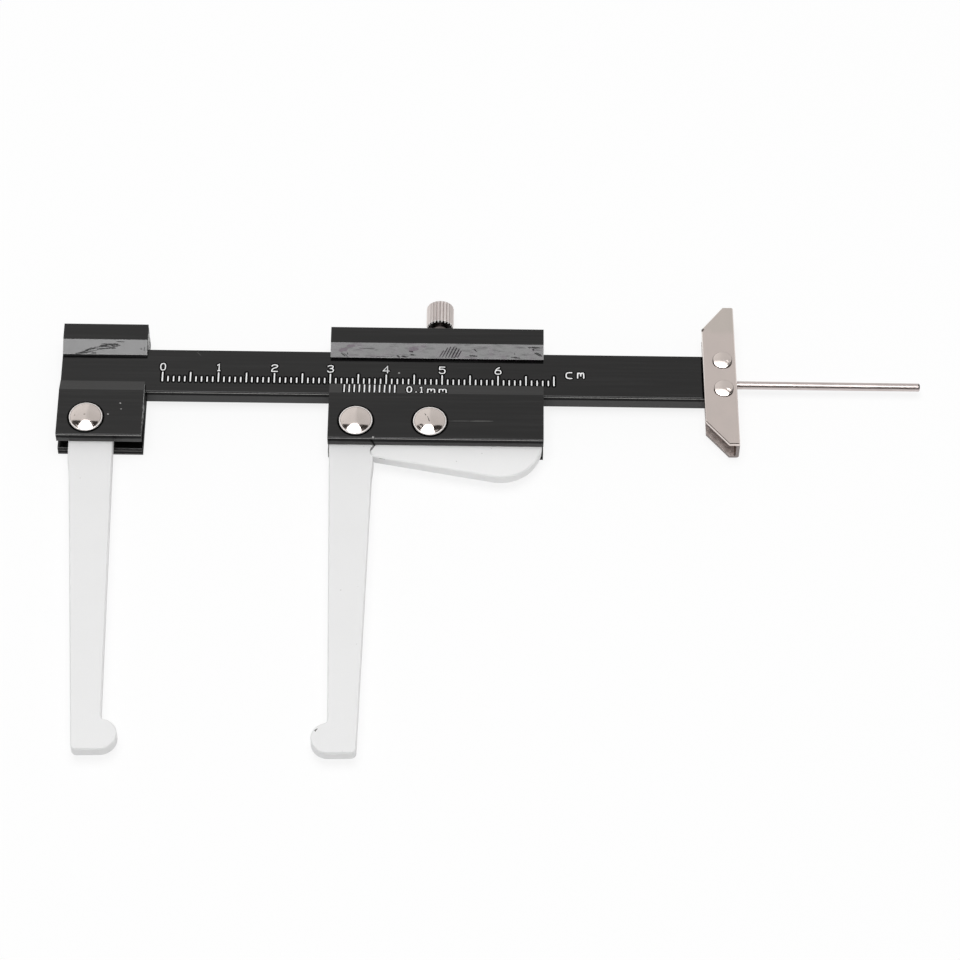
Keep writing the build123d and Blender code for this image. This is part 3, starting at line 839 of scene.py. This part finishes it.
def plated_sheet():
    """Satin nickel plated sheet of the depth base, darker and duller inside its fold, with painted shade and
    a painted highlight along its left edge.
    """
    material, shader, place = start_finish("satin_nickel_sheet")
    grain = place.group(DRAWN_GRAIN, Stretch=(3.0, 0.12, 3.0), Seed=5.0)
    cloud = place.group(CLOUDY_TONE, Size=3.4, Seed=5.0)["Cloud"]
    x, y, z = place.axes()
    tone = cloud.ramp(0.3, 0.75).blend((0.79, 0.702, 0.666), (0.76, 0.682, 0.648))
    upper = (y + cloud * 4.0).ramp(10.5, 12.5)
    tone = (upper * 0.6).blend(tone, (0.70, 0.650, 0.600))
    # The inside of the fold: a darker, mottled tone, rougher and less metallic
    inside = z.fall(*FOLD_FRONT_Z) * z.ramp(*FOLD_BACK_Z) * x.fall(*FOLD_WEB_X)
    inside_cloud = place.group(CLOUDY_TONE, Size=0.9, Seed=15.0)["Cloud"]
    inside_tone = inside_cloud.ramp(0.35, 0.65).blend((0.40, 0.34, 0.32), (0.62, 0.54, 0.51))
    tone = inside.blend(tone, inside_tone)
    normal = made_by(place.tree, "ShaderNodeNewGeometry", "True Normal")
    cut = normal.axes()[1].fall(-0.6, -0.5) * z.fall(4.62, 4.72)
    tone = cut.blend(tone, (0.27, 0.235, 0.225))
    # Painted highlight and painted shade lines along the left edge
    edge_highlight = line_marks(place, SHEET_EDGE_HIGHLIGHT, 0.2, 0.1)
    tone = (edge_highlight * 0.8).blend(tone, (0.97, 0.93, 0.90))
    tone = line_marks(place, SHEET_EDGE_SHADE, 0.5, 0.1).blend(tone, (0.16, 0.14, 0.13))
    pits = place.group(LINT_SPECKS, Spacing=1.6, Size=0.05, Share=0.25)["Mask"]
    tone = (pits * 0.3).blend(tone, PIT_DARK)
    dull = inside.larger(cut)
    rough = dull.between(grain["Faint"].spread(0.13, 0.18), 0.5)
    dress(shader, tone, rough, grain["Lines"] * 0.0025, dull.between(1.0, 0.25))
    return material


def knurled_knob():
    """Nickel plated knurl, with painted shade in its grooves, painted highlights on its tooth tips at the
    near end, and painted shade on its near end face and its shank.
    """
    material, shader, place = start_finish("knurled_nickel")
    cloud = place.group(CLOUDY_TONE, Size=1.4, Seed=7.0)["Cloud"]
    y = place.axes()[1]
    level = place.vector("SUBTRACT", KNOB_AXIS).vector("MULTIPLY", (1.0, 0.0, 1.0))
    radius = level.vector("LENGTH", output="Value")
    sides = level.axes()
    angle = maths(place.tree, "ARCTAN2", sides[2], sides[0])
    tooth = maths(place.tree, "COSINE", angle * KNOB_TEETH)
    tone = cloud.ramp(0.3, 0.7).blend((0.79, 0.735, 0.715), (0.74, 0.68, 0.665))
    # Painted shade in the grooves between the ridges
    tone = (tooth.fall(-0.95, -0.2) * 0.55).blend(tone, (0.36, 0.32, 0.305))
    # Painted highlights on the tooth tips at the near end
    near = y.fall(KNOB_NEAR_Y + 0.36, KNOB_NEAR_Y + 0.50)
    tip_highlight = near * tooth.ramp(-0.1, 0.3) * radius.ramp(2.10, 2.16)
    tone = tip_highlight.blend(tone, (0.93, 0.91, 0.89))
    # Painted shade in the notches between those tips
    notch_shade = y.fall(KNOB_NEAR_Y + 0.26, KNOB_NEAR_Y + 0.38) * tooth.fall(-0.3, 0.1)
    tone = notch_shade.blend(tone, (0.010, 0.009, 0.008))
    # Painted shade on the near end face, a lighter grey towards the axis
    underside_shade = y.fall(KNOB_NEAR_Y + 0.02, KNOB_NEAR_Y + 0.05)
    tone = underside_shade.blend(tone, (0.012, 0.010, 0.009))
    tone = (underside_shade * radius.fall(1.95, 2.10)).blend(tone, (0.095, 0.084, 0.080))
    # Painted shade on the shank, which is also smoother
    shank = underside_shade * radius.fall(1.55, 1.60)
    tone = shank.blend(tone, (0.17, 0.15, 0.145))
    rough = shank.between(cloud.spread(0.28, 0.34), 0.16)
    lines = place.group(DRAWN_GRAIN, Stretch=(2.0, 0.5, 2.0), Seed=7.0)["Lines"]
    dress(shader, tone, rough, lines * 0.003, tip_highlight.between(1.0, 0.35))
    return material


def plain_metal(name, colour, other, roughness, seed):
    """A small hidden part's metal, with turned or rolled lines."""
    material, shader, place = start_finish(name, Metallic=1.0)
    lines = place.group(DRAWN_GRAIN, Stretch=(0.3, 3.0, 3.0), Seed=seed)["Lines"]
    cloud = place.group(CLOUDY_TONE, Size=1.6, Seed=seed)["Cloud"]
    rough = lines.spread(roughness - 0.06, roughness + 0.08)
    dress(shader, cloud.blend(colour, other), rough, lines * 0.004)
    return material


def scale_ink():
    """White printing ink, a little thin at its edges."""
    material, shader, place = start_finish("white_scale_ink", Metallic=0.0)
    thin = place.noise(5.0, 3.0, 0.6)
    colour = thin.ramp(0.55, 0.80).blend((0.90, 0.90, 0.90), (0.62, 0.62, 0.62))
    dress(shader, colour, thin.spread(0.45, 0.6), thin * 0.004)
    return material


def print_ground():
    """Dead matt black left round the print."""
    material, shader, place = start_finish("matt_black_print_ground", IOR=1.3)
    shader["Specular IOR Level"].default_value = 0.06
    cloud = place.noise(2.0)
    dress(shader, cloud.blend((0.002, 0.002, 0.002), (0.004, 0.004, 0.004)), cloud.spread(0.6, 0.8))
    return material


# Marks, painted shade and painted highlight lines: start, end and width in millimetres, with x and y alone
# where they lie on an upper bevel

HEAD_ENDS = (-HEAD_RIGHT_X, HEAD_RIGHT_X)
SLIDER_ENDS = (40.44, 78.64)
HOLDER_LOW_Y = -15.13
# Colours of the painted edge lines: dead black for painted shade, greys for painted highlights
EDGE_SHADE_BLACK = (0.002, 0.002, 0.002)
EDGE_GREY = (0.33, 0.325, 0.32)
BACK_EDGE_GREY = (0.12, 0.118, 0.115)
LIP_FOOT_GREY = (0.05, 0.048, 0.046)
BEVEL_EDGE_GREY = (0.09, 0.088, 0.086)
# Painted shade bands along the bar's lower and upper front edges and where it meets the depth base, and a
# painted highlight line on its lower side
BAR_EDGE_SHADE_AND_HIGHLIGHT = [
    ([(-7.6, -4.58, 3.94, 112.0, -4.58, 3.94, 0.78)], EDGE_SHADE_BLACK, 1.0, 0.1),
    ([(-7.6, -4.58, 4.42, 112.0, -4.58, 4.42, 0.15)], (0.37, 0.365, 0.355), 0.0, 0.3),
    ([(107.22, -4.6, 4.7, 107.08, 4.6, 4.7, 0.42)], EDGE_SHADE_BLACK, 1.0, 0.3),
    ([(-7.6, 4.52, 4.7, 112.0, 4.52, 4.7, 0.30)], EDGE_SHADE_BLACK, 0.7, 0.2),
]
HEAD_GOUGES = [
    (-5.44, 2.80, -4.34, 3.12, 0.26), (-4.40, 3.10, -3.62, 3.34, 0.28), (-3.57, 3.56, -2.68, 3.85, 0.18),
    (-2.70, 3.84, -1.63, 3.93, 0.24), (-3.51, 3.23, -3.18, 2.99, 0.16), (-2.45, 3.10, -1.60, 3.20, 0.18),
    (-1.86, 3.16, -1.60, 3.22, 0.26), (-1.42, 3.77, -0.16, 3.88, 0.20), (-0.16, 3.88, 1.52, 4.04, 0.18),
    (1.10, 4.02, 1.89, 3.98, 0.24), (-1.01, 4.20, -0.49, 4.44, 0.17), (-0.49, 4.44, -0.01, 4.35, 0.18),
    (-0.17, 4.35, 0.56, 4.55, 0.18), (0.56, 4.52, 1.93, 4.52, 0.28), (1.70, 4.50, 2.90, 4.43, 0.15),
    (2.02, 5.04, 3.50, 5.01, 0.12), (6.42, 3.91, 6.56, 3.91, 0.26), (7.10, 4.20, 7.01, 3.54, 0.11),
    (-5.20, 2.98, -2.60, 3.72, 0.12), (-4.60, 2.92, -1.30, 3.66, 0.11), (-1.90, 4.10, 1.40, 4.30, 0.11),
    (-0.90, 4.62, 2.40, 4.70, 0.11),
]
HEAD_SCUFFS = [(-5.3, 2.95, -2.2, 3.70, 0.70), (-2.6, 3.75, 2.4, 4.45, 0.85)]
HEAD_BARE = [
    (HEAD_RIGHT_X, 5.9, 3.4, HEAD_RIGHT_X, 8.3, 3.4, 4.6),
    (HEAD_RIGHT_X, -3.2, 5.9, HEAD_RIGHT_X, -9.4, 6.2, 0.75),
    (HEAD_RIGHT_X, -9.0, 6.3, HEAD_RIGHT_X, -14.9, 6.35, 0.34),
    (HEAD_RIGHT_X, -8.2, 4.6, HEAD_RIGHT_X, -11.0, 4.2, 1.7),
]
HEAD_LINT = [
    (3.47, -8.37, 6.5, 3.57, -8.40, 6.5, 0.26), (3.70, -9.65, 6.5, 3.78, -9.62, 6.5, 0.20),
    (1.46, -10.76, 6.5, 1.54, -10.76, 6.5, 0.28),
]
SLIDER_GOUGES = [
    (42.34, 3.71, 43.12, 3.09, 0.22), (43.43, 3.81, 43.57, 3.35, 0.16), (52.28, 3.40, 52.92, 3.06, 0.26),
    (53.20, 3.24, 53.90, 3.22, 0.22), (54.57, 4.06, 55.34, 3.95, 0.20), (54.71, 3.54, 55.61, 3.47, 0.24),
    (65.37, 3.49, 66.78, 3.39, 0.24), (66.12, 4.53, 66.71, 4.14, 0.18), (73.40, 3.87, 73.50, 3.87, 0.28),
    (72.80, 3.29, 74.47, 3.19, 0.20), (75.73, 4.93, 77.91, 4.90, 0.22), (76.76, 4.77, 76.89, 4.37, 0.24),
    (77.02, 4.08, 78.31, 3.58, 0.34),
]
SLIDER_CLOUDS = [
    (42.2, 4.1, 43.2, 4.3, 0.9), (43.5, 4.75, 44.5, 4.85, 0.6), (54.7, 4.4, 55.9, 4.5, 0.9),
]
SLIDER_FAINT_LINES = [
    (45.60, 4.47, 48.16, 4.38, 0.14), (47.54, 3.17, 51.51, 3.16, 0.14), (42.9, 3.6, 43.6, 2.99, 0.20),
]
SLIDER_HATCH = [
    (60.00, 3.25, 60.70, 4.24, 0.20), (60.52, 3.20, 61.42, 4.71, 0.20), (61.06, 3.15, 61.96, 4.83, 0.22),
    (61.60, 3.15, 62.55, 4.83, 0.24), (62.14, 3.15, 63.04, 4.70, 0.27), (62.70, 3.15, 63.50, 4.50, 0.27),
    (63.24, 3.20, 63.84, 4.20, 0.22),
]
SLIDER_BLOBS = [
    (62.40, 3.22, 62.46, 3.26, 0.34), (63.05, 3.29, 63.10, 3.33, 0.32), (62.68, 4.84, 62.76, 4.84, 0.30),
    (53.5, 3.2, 54.3, 3.18, 0.26),
]
SLIDER_LINT = [(48.48, -14.93, 6.5, 48.54, -14.96, 6.5, 0.34)]
SLIDER_SCRATCHES = [
    (61.6, -11.33, 6.5, 66.2, -11.28, 6.5, 0.14), (65.4, -11.30, 6.5, 69.67, -11.24, 6.5, 0.26),
]
BAR_LINT = [(52.74, 0.10, 4.7, 52.84, 0.10, 4.7, 0.30)]
BAR_SCRATCHES = [(16.41, 4.12, 4.7, 17.16, 3.37, 4.7, 0.12)]
JAW_NICKS = [
    (40.10, -73.05, 4.25, 40.45, -72.66, 4.25, 0.24), (40.1, -72.9, 4.25, 40.2, -73.2, 4.25, 0.16),
    (44.75, -76.93, 4.2, 44.80, -76.93, 4.2, 0.16), (46.10, -76.85, 4.2, 46.2, -76.91, 4.2, 0.16),
]
THUMB_NICKS = [
    (48.64, -15.32, 4.25, 47.95, -16.37, 4.25, 0.42), (47.95, -16.37, 4.25, 48.29, -17.41, 4.25, 0.22),
    (48.29, -17.41, 4.0, 48.40, -17.80, 3.0, 0.20), (59.00, -18.86, 3.3, 59.10, -18.92, 3.2, 0.26),
    (52.78, -18.44, 3.4, 52.86, -18.44, 3.4, 0.14), (49.3, -17.7, 3.9, 50.6, -17.9, 3.9, 0.12),
    (51.7, -18.0, 4.0, 51.9, -18.02, 4.0, 0.18), (56.2, -18.75, 3.9, 56.5, -18.8, 3.9, 0.16),
    (62.3, -19.6, 3.9, 62.7, -19.7, 3.9, 0.16), (66.0, -20.2, 3.0, 66.2, -20.25, 3.0, 0.18),
]
ROD_TIP_MARKS = [(146.25, -0.9, 2.9, 146.25, 0.3, 3.1, 0.62)]


def along_holder(ends, *lines):
    """Marks along a holder's lower side, each one given by its height and width."""
    left, right = ends
    return [(left, HOLDER_LOW_Y, z, right, HOLDER_LOW_Y, z, width) for z, width in lines]


def holder_edges(ends):
    """Painted highlight lines and painted shade bands on a holder's lower side, and painted highlight lines
    round its upper bevel.
    """
    left, right = ends
    bevel = [(left, 3.0, right, 3.0, 0.11), (left + 0.05, 2.95, left + 0.05, 5.3, 0.12),
             (right - 0.05, 2.95, right - 0.05, 5.3, 0.12)]
    return [
        # Painted shade bands, then the painted highlight lines
        (along_holder(ends, (5.70, 1.02), (1.0, 2.0)), EDGE_SHADE_BLACK, 1.0, 0.15),
        (along_holder(ends, (6.27, 0.20)), EDGE_GREY, 0.0, 0.35),
        (along_holder(ends, (1.29, 0.20), (0.40, 0.20)), BACK_EDGE_GREY, 0.0, 0.35),
        (along_holder(ends, (4.55, 0.16)), LIP_FOOT_GREY, 0.0, 0.35),
        (on_bevel(bevel), BEVEL_EDGE_GREY, 0.0, 0.4),
    ]


def finish_parts():
    """Puts a finish on every CAD part."""
    slider_shades = holder_edges(SLIDER_ENDS) + [
        (on_bevel(SLIDER_CLOUDS), (0.016, 0.0085, 0.0145), 0.45, 0.9),
        (on_bevel(SLIDER_FAINT_LINES), (0.010, 0.009, 0.010), 0.75, 0.5),
        (on_bevel(SLIDER_HATCH), (0.006, 0.005, 0.006), 1.0, 0.05),
        (on_bevel(SLIDER_BLOBS), (0.010, 0.009, 0.010), 0.65, 0.6),
    ]
    bar = black_anodised("bar_black_anodised", 1.0, lint=BAR_LINT, scratches=BAR_SCRATCHES,
                         shades=BAR_EDGE_SHADE_AND_HIGHLIGHT)
    head = black_anodised("head_black_anodised", 2.0, gouges=HEAD_GOUGES, bare=HEAD_BARE, lint=HEAD_LINT,
                          shades=holder_edges(HEAD_ENDS), scuffs=HEAD_SCUFFS,
                          rivets=[RIVET_PLACES["fixed_jaw_rivet"]], tinted=True,
                          bevel_tone=(0.050, 0.049, 0.050))
    slider = black_anodised("slider_black_anodised", 3.0, gouges=SLIDER_GOUGES, lint=SLIDER_LINT,
                            scratches=SLIDER_SCRATCHES, shades=slider_shades, smudged=0.55,
                            rivets=[RIVET_PLACES["moving_jaw_rivet"], RIVET_PLACES["thumb_plate_rivet"]],
                            tinted=True)
    plate = pale_plate("pale_matt_plate", (0.765, 0.765, 0.765), (0.79, 0.79, 0.79), JAW_NICKS)
    # The thumb plate has the jaws' plate finish, painted lighter to stand in for more light on it
    thumb = pale_plate("thumb_plate_painted_lighter", (0.83, 0.83, 0.828), (0.86, 0.86, 0.858), THUMB_NICKS)
    rivet = nickel("bright_nickel_rivet", (0.76, 0.69, 0.655), (0.72, 0.65, 0.615), 0.10, 0.15,
                   (1.2, 0.8, 1.2), 4.0, 0.003, RIVET_MARKS)
    sheet = plated_sheet()
    sheet_rivet = nickel("sheet_rivet_nickel", (0.78, 0.70, 0.66), (0.75, 0.675, 0.64), 0.10, 0.14,
                         (0.5, 0.5, 0.5), 6.0, 0.001)
    knob = knurled_knob()
    rod = nickel("polished_rod", (0.64, 0.575, 0.56), (0.58, 0.515, 0.50), 0.30, 0.36,
                 (0.04, 2.0, 2.0), 8.0, 0.0, ROD_TIP_MARKS)
    oxide = plain_metal("black_oxide_steel", (0.05, 0.05, 0.052), (0.08, 0.078, 0.076), 0.42, 9.0)
    brass = plain_metal("rolled_brass", (0.62, 0.44, 0.19), (0.54, 0.37, 0.15), 0.32, 10.0)
    finishes = {
        "main_bar": bar, "fixed_head": head, "slider_body": slider,
        "fixed_jaw": plate, "moving_jaw": plate, "thumb_plate": thumb,
        "fixed_jaw_rivet": rivet, "moving_jaw_rivet": rivet, "thumb_plate_rivet": rivet,
        "lock_screw": knob, "depth_base": sheet, "depth_rod": rod,
        "depth_base_rivet_upper": sheet_rivet, "depth_base_rivet_lower": sheet_rivet,
        "head_set_screw_left": oxide, "head_set_screw_right": oxide, "depth_rod_screw": oxide,
        "gib_strip": brass, "depth_rod_block": brass,
    }
    for node, finish in finishes.items():
        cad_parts[node].material_slots[0].material = finish
    # Plate rivet bands: a pale, less metallic painted highlight on the rims, and painted shade in the grooves
    rim_highlight = nickel("rivet_rim_painted_highlight", (0.84, 0.805, 0.785), (0.79, 0.75, 0.73), 0.25, 0.35,
                      (1.2, 0.8, 1.2), 14.0, 0.001, metallic=0.35)
    dull = nickel("rivet_groove_painted_shade", (0.30, 0.265, 0.25), (0.22, 0.195, 0.18), 0.2, 0.3,
                  (1.2, 0.8, 1.2), 15.0, 0.001)
    # Painted shade round the feet of the base rivets
    foot_shade = nickel("rivet_foot_painted_shade", (0.055, 0.048, 0.045), (0.09, 0.08, 0.075), 0.35, 0.5,
                       (0.5, 0.5, 0.5), 16.0, 0.001)
    set_rivets(rivet, rim_highlight, dull, sheet_rivet, foot_shade)


# The studio

FLOOR_CORNERS = [(-8.0, -8.0, 0.0), (8.0, -8.0, 0.0), (8.0, 8.0, 0.0), (-8.0, 8.0, 0.0)]
FLOOR_DROP = 0.00002
FLOOR_WHITE = (0.985, 0.985, 0.985)
SHADOW_REACH = (0.16, 0.40)
SEEN_SHADOW_SHARE = 0.16
MIRRORED_SHADOW_SHARE = 0.75
WHITE_CARD = [(-0.295, -0.19, 0.42), (0.215, -0.19, 0.42), (0.165, 0.20, 1.20), (0.09, 0.255, 1.31),
              (-0.17, 0.255, 1.31), (-0.245, 0.20, 1.20)]
WHITE_CARD_LEVEL = 6.9
WHITE_CARD_FAR_LEVEL = 1.25
CARD_NEAR_Y = -0.15
CARD_FAR_Y = 0.20
DARK_CARD_HEIGHT = 1.6
DARK_CARD_SLOPES = [(-1.1, 0.02), (-0.3, -0.30), (0.3, -0.30), (1.1, 0.02), (1.3, 0.41), (0.0, 0.0),
                    (-1.3, 0.41)]
DARK_ROOM_TONE = (0.035, 0.032, 0.029)
SOFT_LAMP_PLACE = (0.03, -0.02, 0.95)
SOFT_LAMP_SIZE = 0.55
SOFT_LAMP_WATTS = 5.4
LEAST_RISE = 0.03
CAMERA_PLACE = (0.06544, -0.38407, 0.56121)
CAMERA_TURN = (33.01, -0.176, 0.727)
CAMERA_LENS = 141.555
SENSOR_WIDTH = 36.0


def flat_card(name, corners, material):
    """A flat card of the studio."""
    card = add_object(name, new_mesh(name, corners, [tuple(range(len(corners)))], material))
    return card


def ray_kinds(tree):
    """Whether a ray comes from the camera, and whether a surface has mirrored or passed it."""
    rays = {output.name: Value(output) for output in add_node(tree, "ShaderNodeLightPath").outputs}
    return rays["Is Camera Ray"], rays["Is Glossy Ray"].larger(rays["Is Transmission Ray"])


def mixed(share, first, second):
    """The first shader where the share is 0 and the second where it is 1."""
    return made_by(share.tree, "ShaderNodeMixShader", "Shader", {"Fac": share, 1: first, 2: second})


def floor_finish():
    """White floor that keeps faint shadows round the gauge."""
    material, tree = bare_material("white_floor")
    matt = made_by(tree, "ShaderNodeBsdfDiffuse", "BSDF", {"Color": FLOOR_WHITE})
    glow = made_by(tree, "ShaderNodeEmission", "Emission", {"Color": WHITE, "Strength": 1.0})
    away = made_by(tree, "ShaderNodeTexCoord", "Object").vector("LENGTH", output="Value")
    seen, mirrored = ray_kinds(tree)
    share = mirrored.between(SEEN_SHADOW_SHARE, MIRRORED_SHADOW_SHARE)
    shown = mixed(share * away.fall(*SHADOW_REACH), glow, matt)
    add_node(tree, "ShaderNodeOutputMaterial", {"Surface": mixed(seen.larger(mirrored), matt, shown)})
    return material


def mirrored_card(name, corners, colour, level, far_level):
    """A glowing card that only the gauge's reflections show, with the levels of its near and far edges."""
    material, tree = bare_material(name)
    y = made_by(tree, "ShaderNodeTexCoord", "Object").axes()[1]
    strength = y.ramp(CARD_NEAR_Y, CARD_FAR_Y, level, far_level)
    glow = made_by(tree, "ShaderNodeEmission", "Emission", {"Color": colour, "Strength": strength})
    add_node(tree, "ShaderNodeOutputMaterial", {"Surface": glow})
    card = flat_card(name, corners, material)
    card.visible_camera = False
    card.visible_diffuse = False
    card.visible_transmission = False
    card.visible_volume_scatter = False
    card.visible_shadow = False


def set_studio():
    """Floor, the two cards that metal mirrors, and the soft lamp."""
    low, high = cad_box
    floor = flat_card("white_floor", FLOOR_CORNERS, floor_finish())
    floor.location = ((low.x + high.x) / 2, (low.y + high.y) / 2, -FLOOR_DROP)
    mirrored_card("white_card", WHITE_CARD, WHITE, WHITE_CARD_LEVEL, WHITE_CARD_FAR_LEVEL)
    corners = [(x * DARK_CARD_HEIGHT, y * DARK_CARD_HEIGHT, DARK_CARD_HEIGHT) for x, y in DARK_CARD_SLOPES]
    mirrored_card("dark_room", corners, DARK_ROOM_TONE, 1.0, 1.0)
    lamp = bpy.data.lights.new("soft_lamp", "AREA")
    lamp.shape = "SQUARE"
    lamp.size = SOFT_LAMP_SIZE
    lamp.energy = SOFT_LAMP_WATTS
    box = add_object("soft_lamp", lamp)
    box.location = SOFT_LAMP_PLACE
    box.visible_camera = False
    box.visible_glossy = False


def set_world():
    """White round the gauge, brighter low down, and a soft fill."""
    world = bpy.data.worlds.new("white_studio")
    bpy.context.scene.world = world
    world.use_nodes = True
    tree = world.node_tree
    tree.nodes.clear()
    x, y, z = made_by(tree, "ShaderNodeTexCoord", "Generated").axes()
    rise = z.larger(LEAST_RISE)
    sky = z.ramp(0.35, 0.90).blend((0.75, 0.74, 0.73), (0.68, 0.67, 0.66))
    shade = (x / rise).ramp(-0.14, 0.12).blend((1.14, 1.14, 1.14), (0.93, 0.93, 0.93))
    product = {0: 1.0, 6: sky, 7: shade}
    shaded = made_by(tree, "ShaderNodeMix", 2, product, data_type="RGBA", blend_type="MULTIPLY")
    reflected = (y / rise).fall(-0.62, -0.42).blend(shaded, (0.07, 0.065, 0.06))
    fill = z.ramp(0.05, 0.60).blend((0.95, 0.95, 0.95), (0.34, 0.34, 0.34))
    seen, mirrored = ray_kinds(tree)
    colour = seen.blend(mirrored.blend(fill, reflected), WHITE)
    background = made_by(tree, "ShaderNodeBackground", "Background", {"Color": colour, "Strength": 1.0})
    add_node(tree, "ShaderNodeOutputWorld", {"Surface": background})


def set_camera():
    """The camera of the photograph, found from the printed scale."""
    lens = bpy.data.cameras.new("camera")
    lens.lens = CAMERA_LENS
    lens.sensor_width = SENSOR_WIDTH
    camera = add_object("camera", lens)
    camera.location = CAMERA_PLACE
    camera.rotation_mode = "ZYX"
    camera.rotation_euler = [math.radians(angle) for angle in CAMERA_TURN]
    bpy.context.scene.camera = camera
    bpy.context.scene.view_settings.view_transform = "Standard"


finish_parts()
print_scales(scale_ink(), print_ground())
set_studio()
set_world()
set_camera()

bpy.context.view_layer.update()
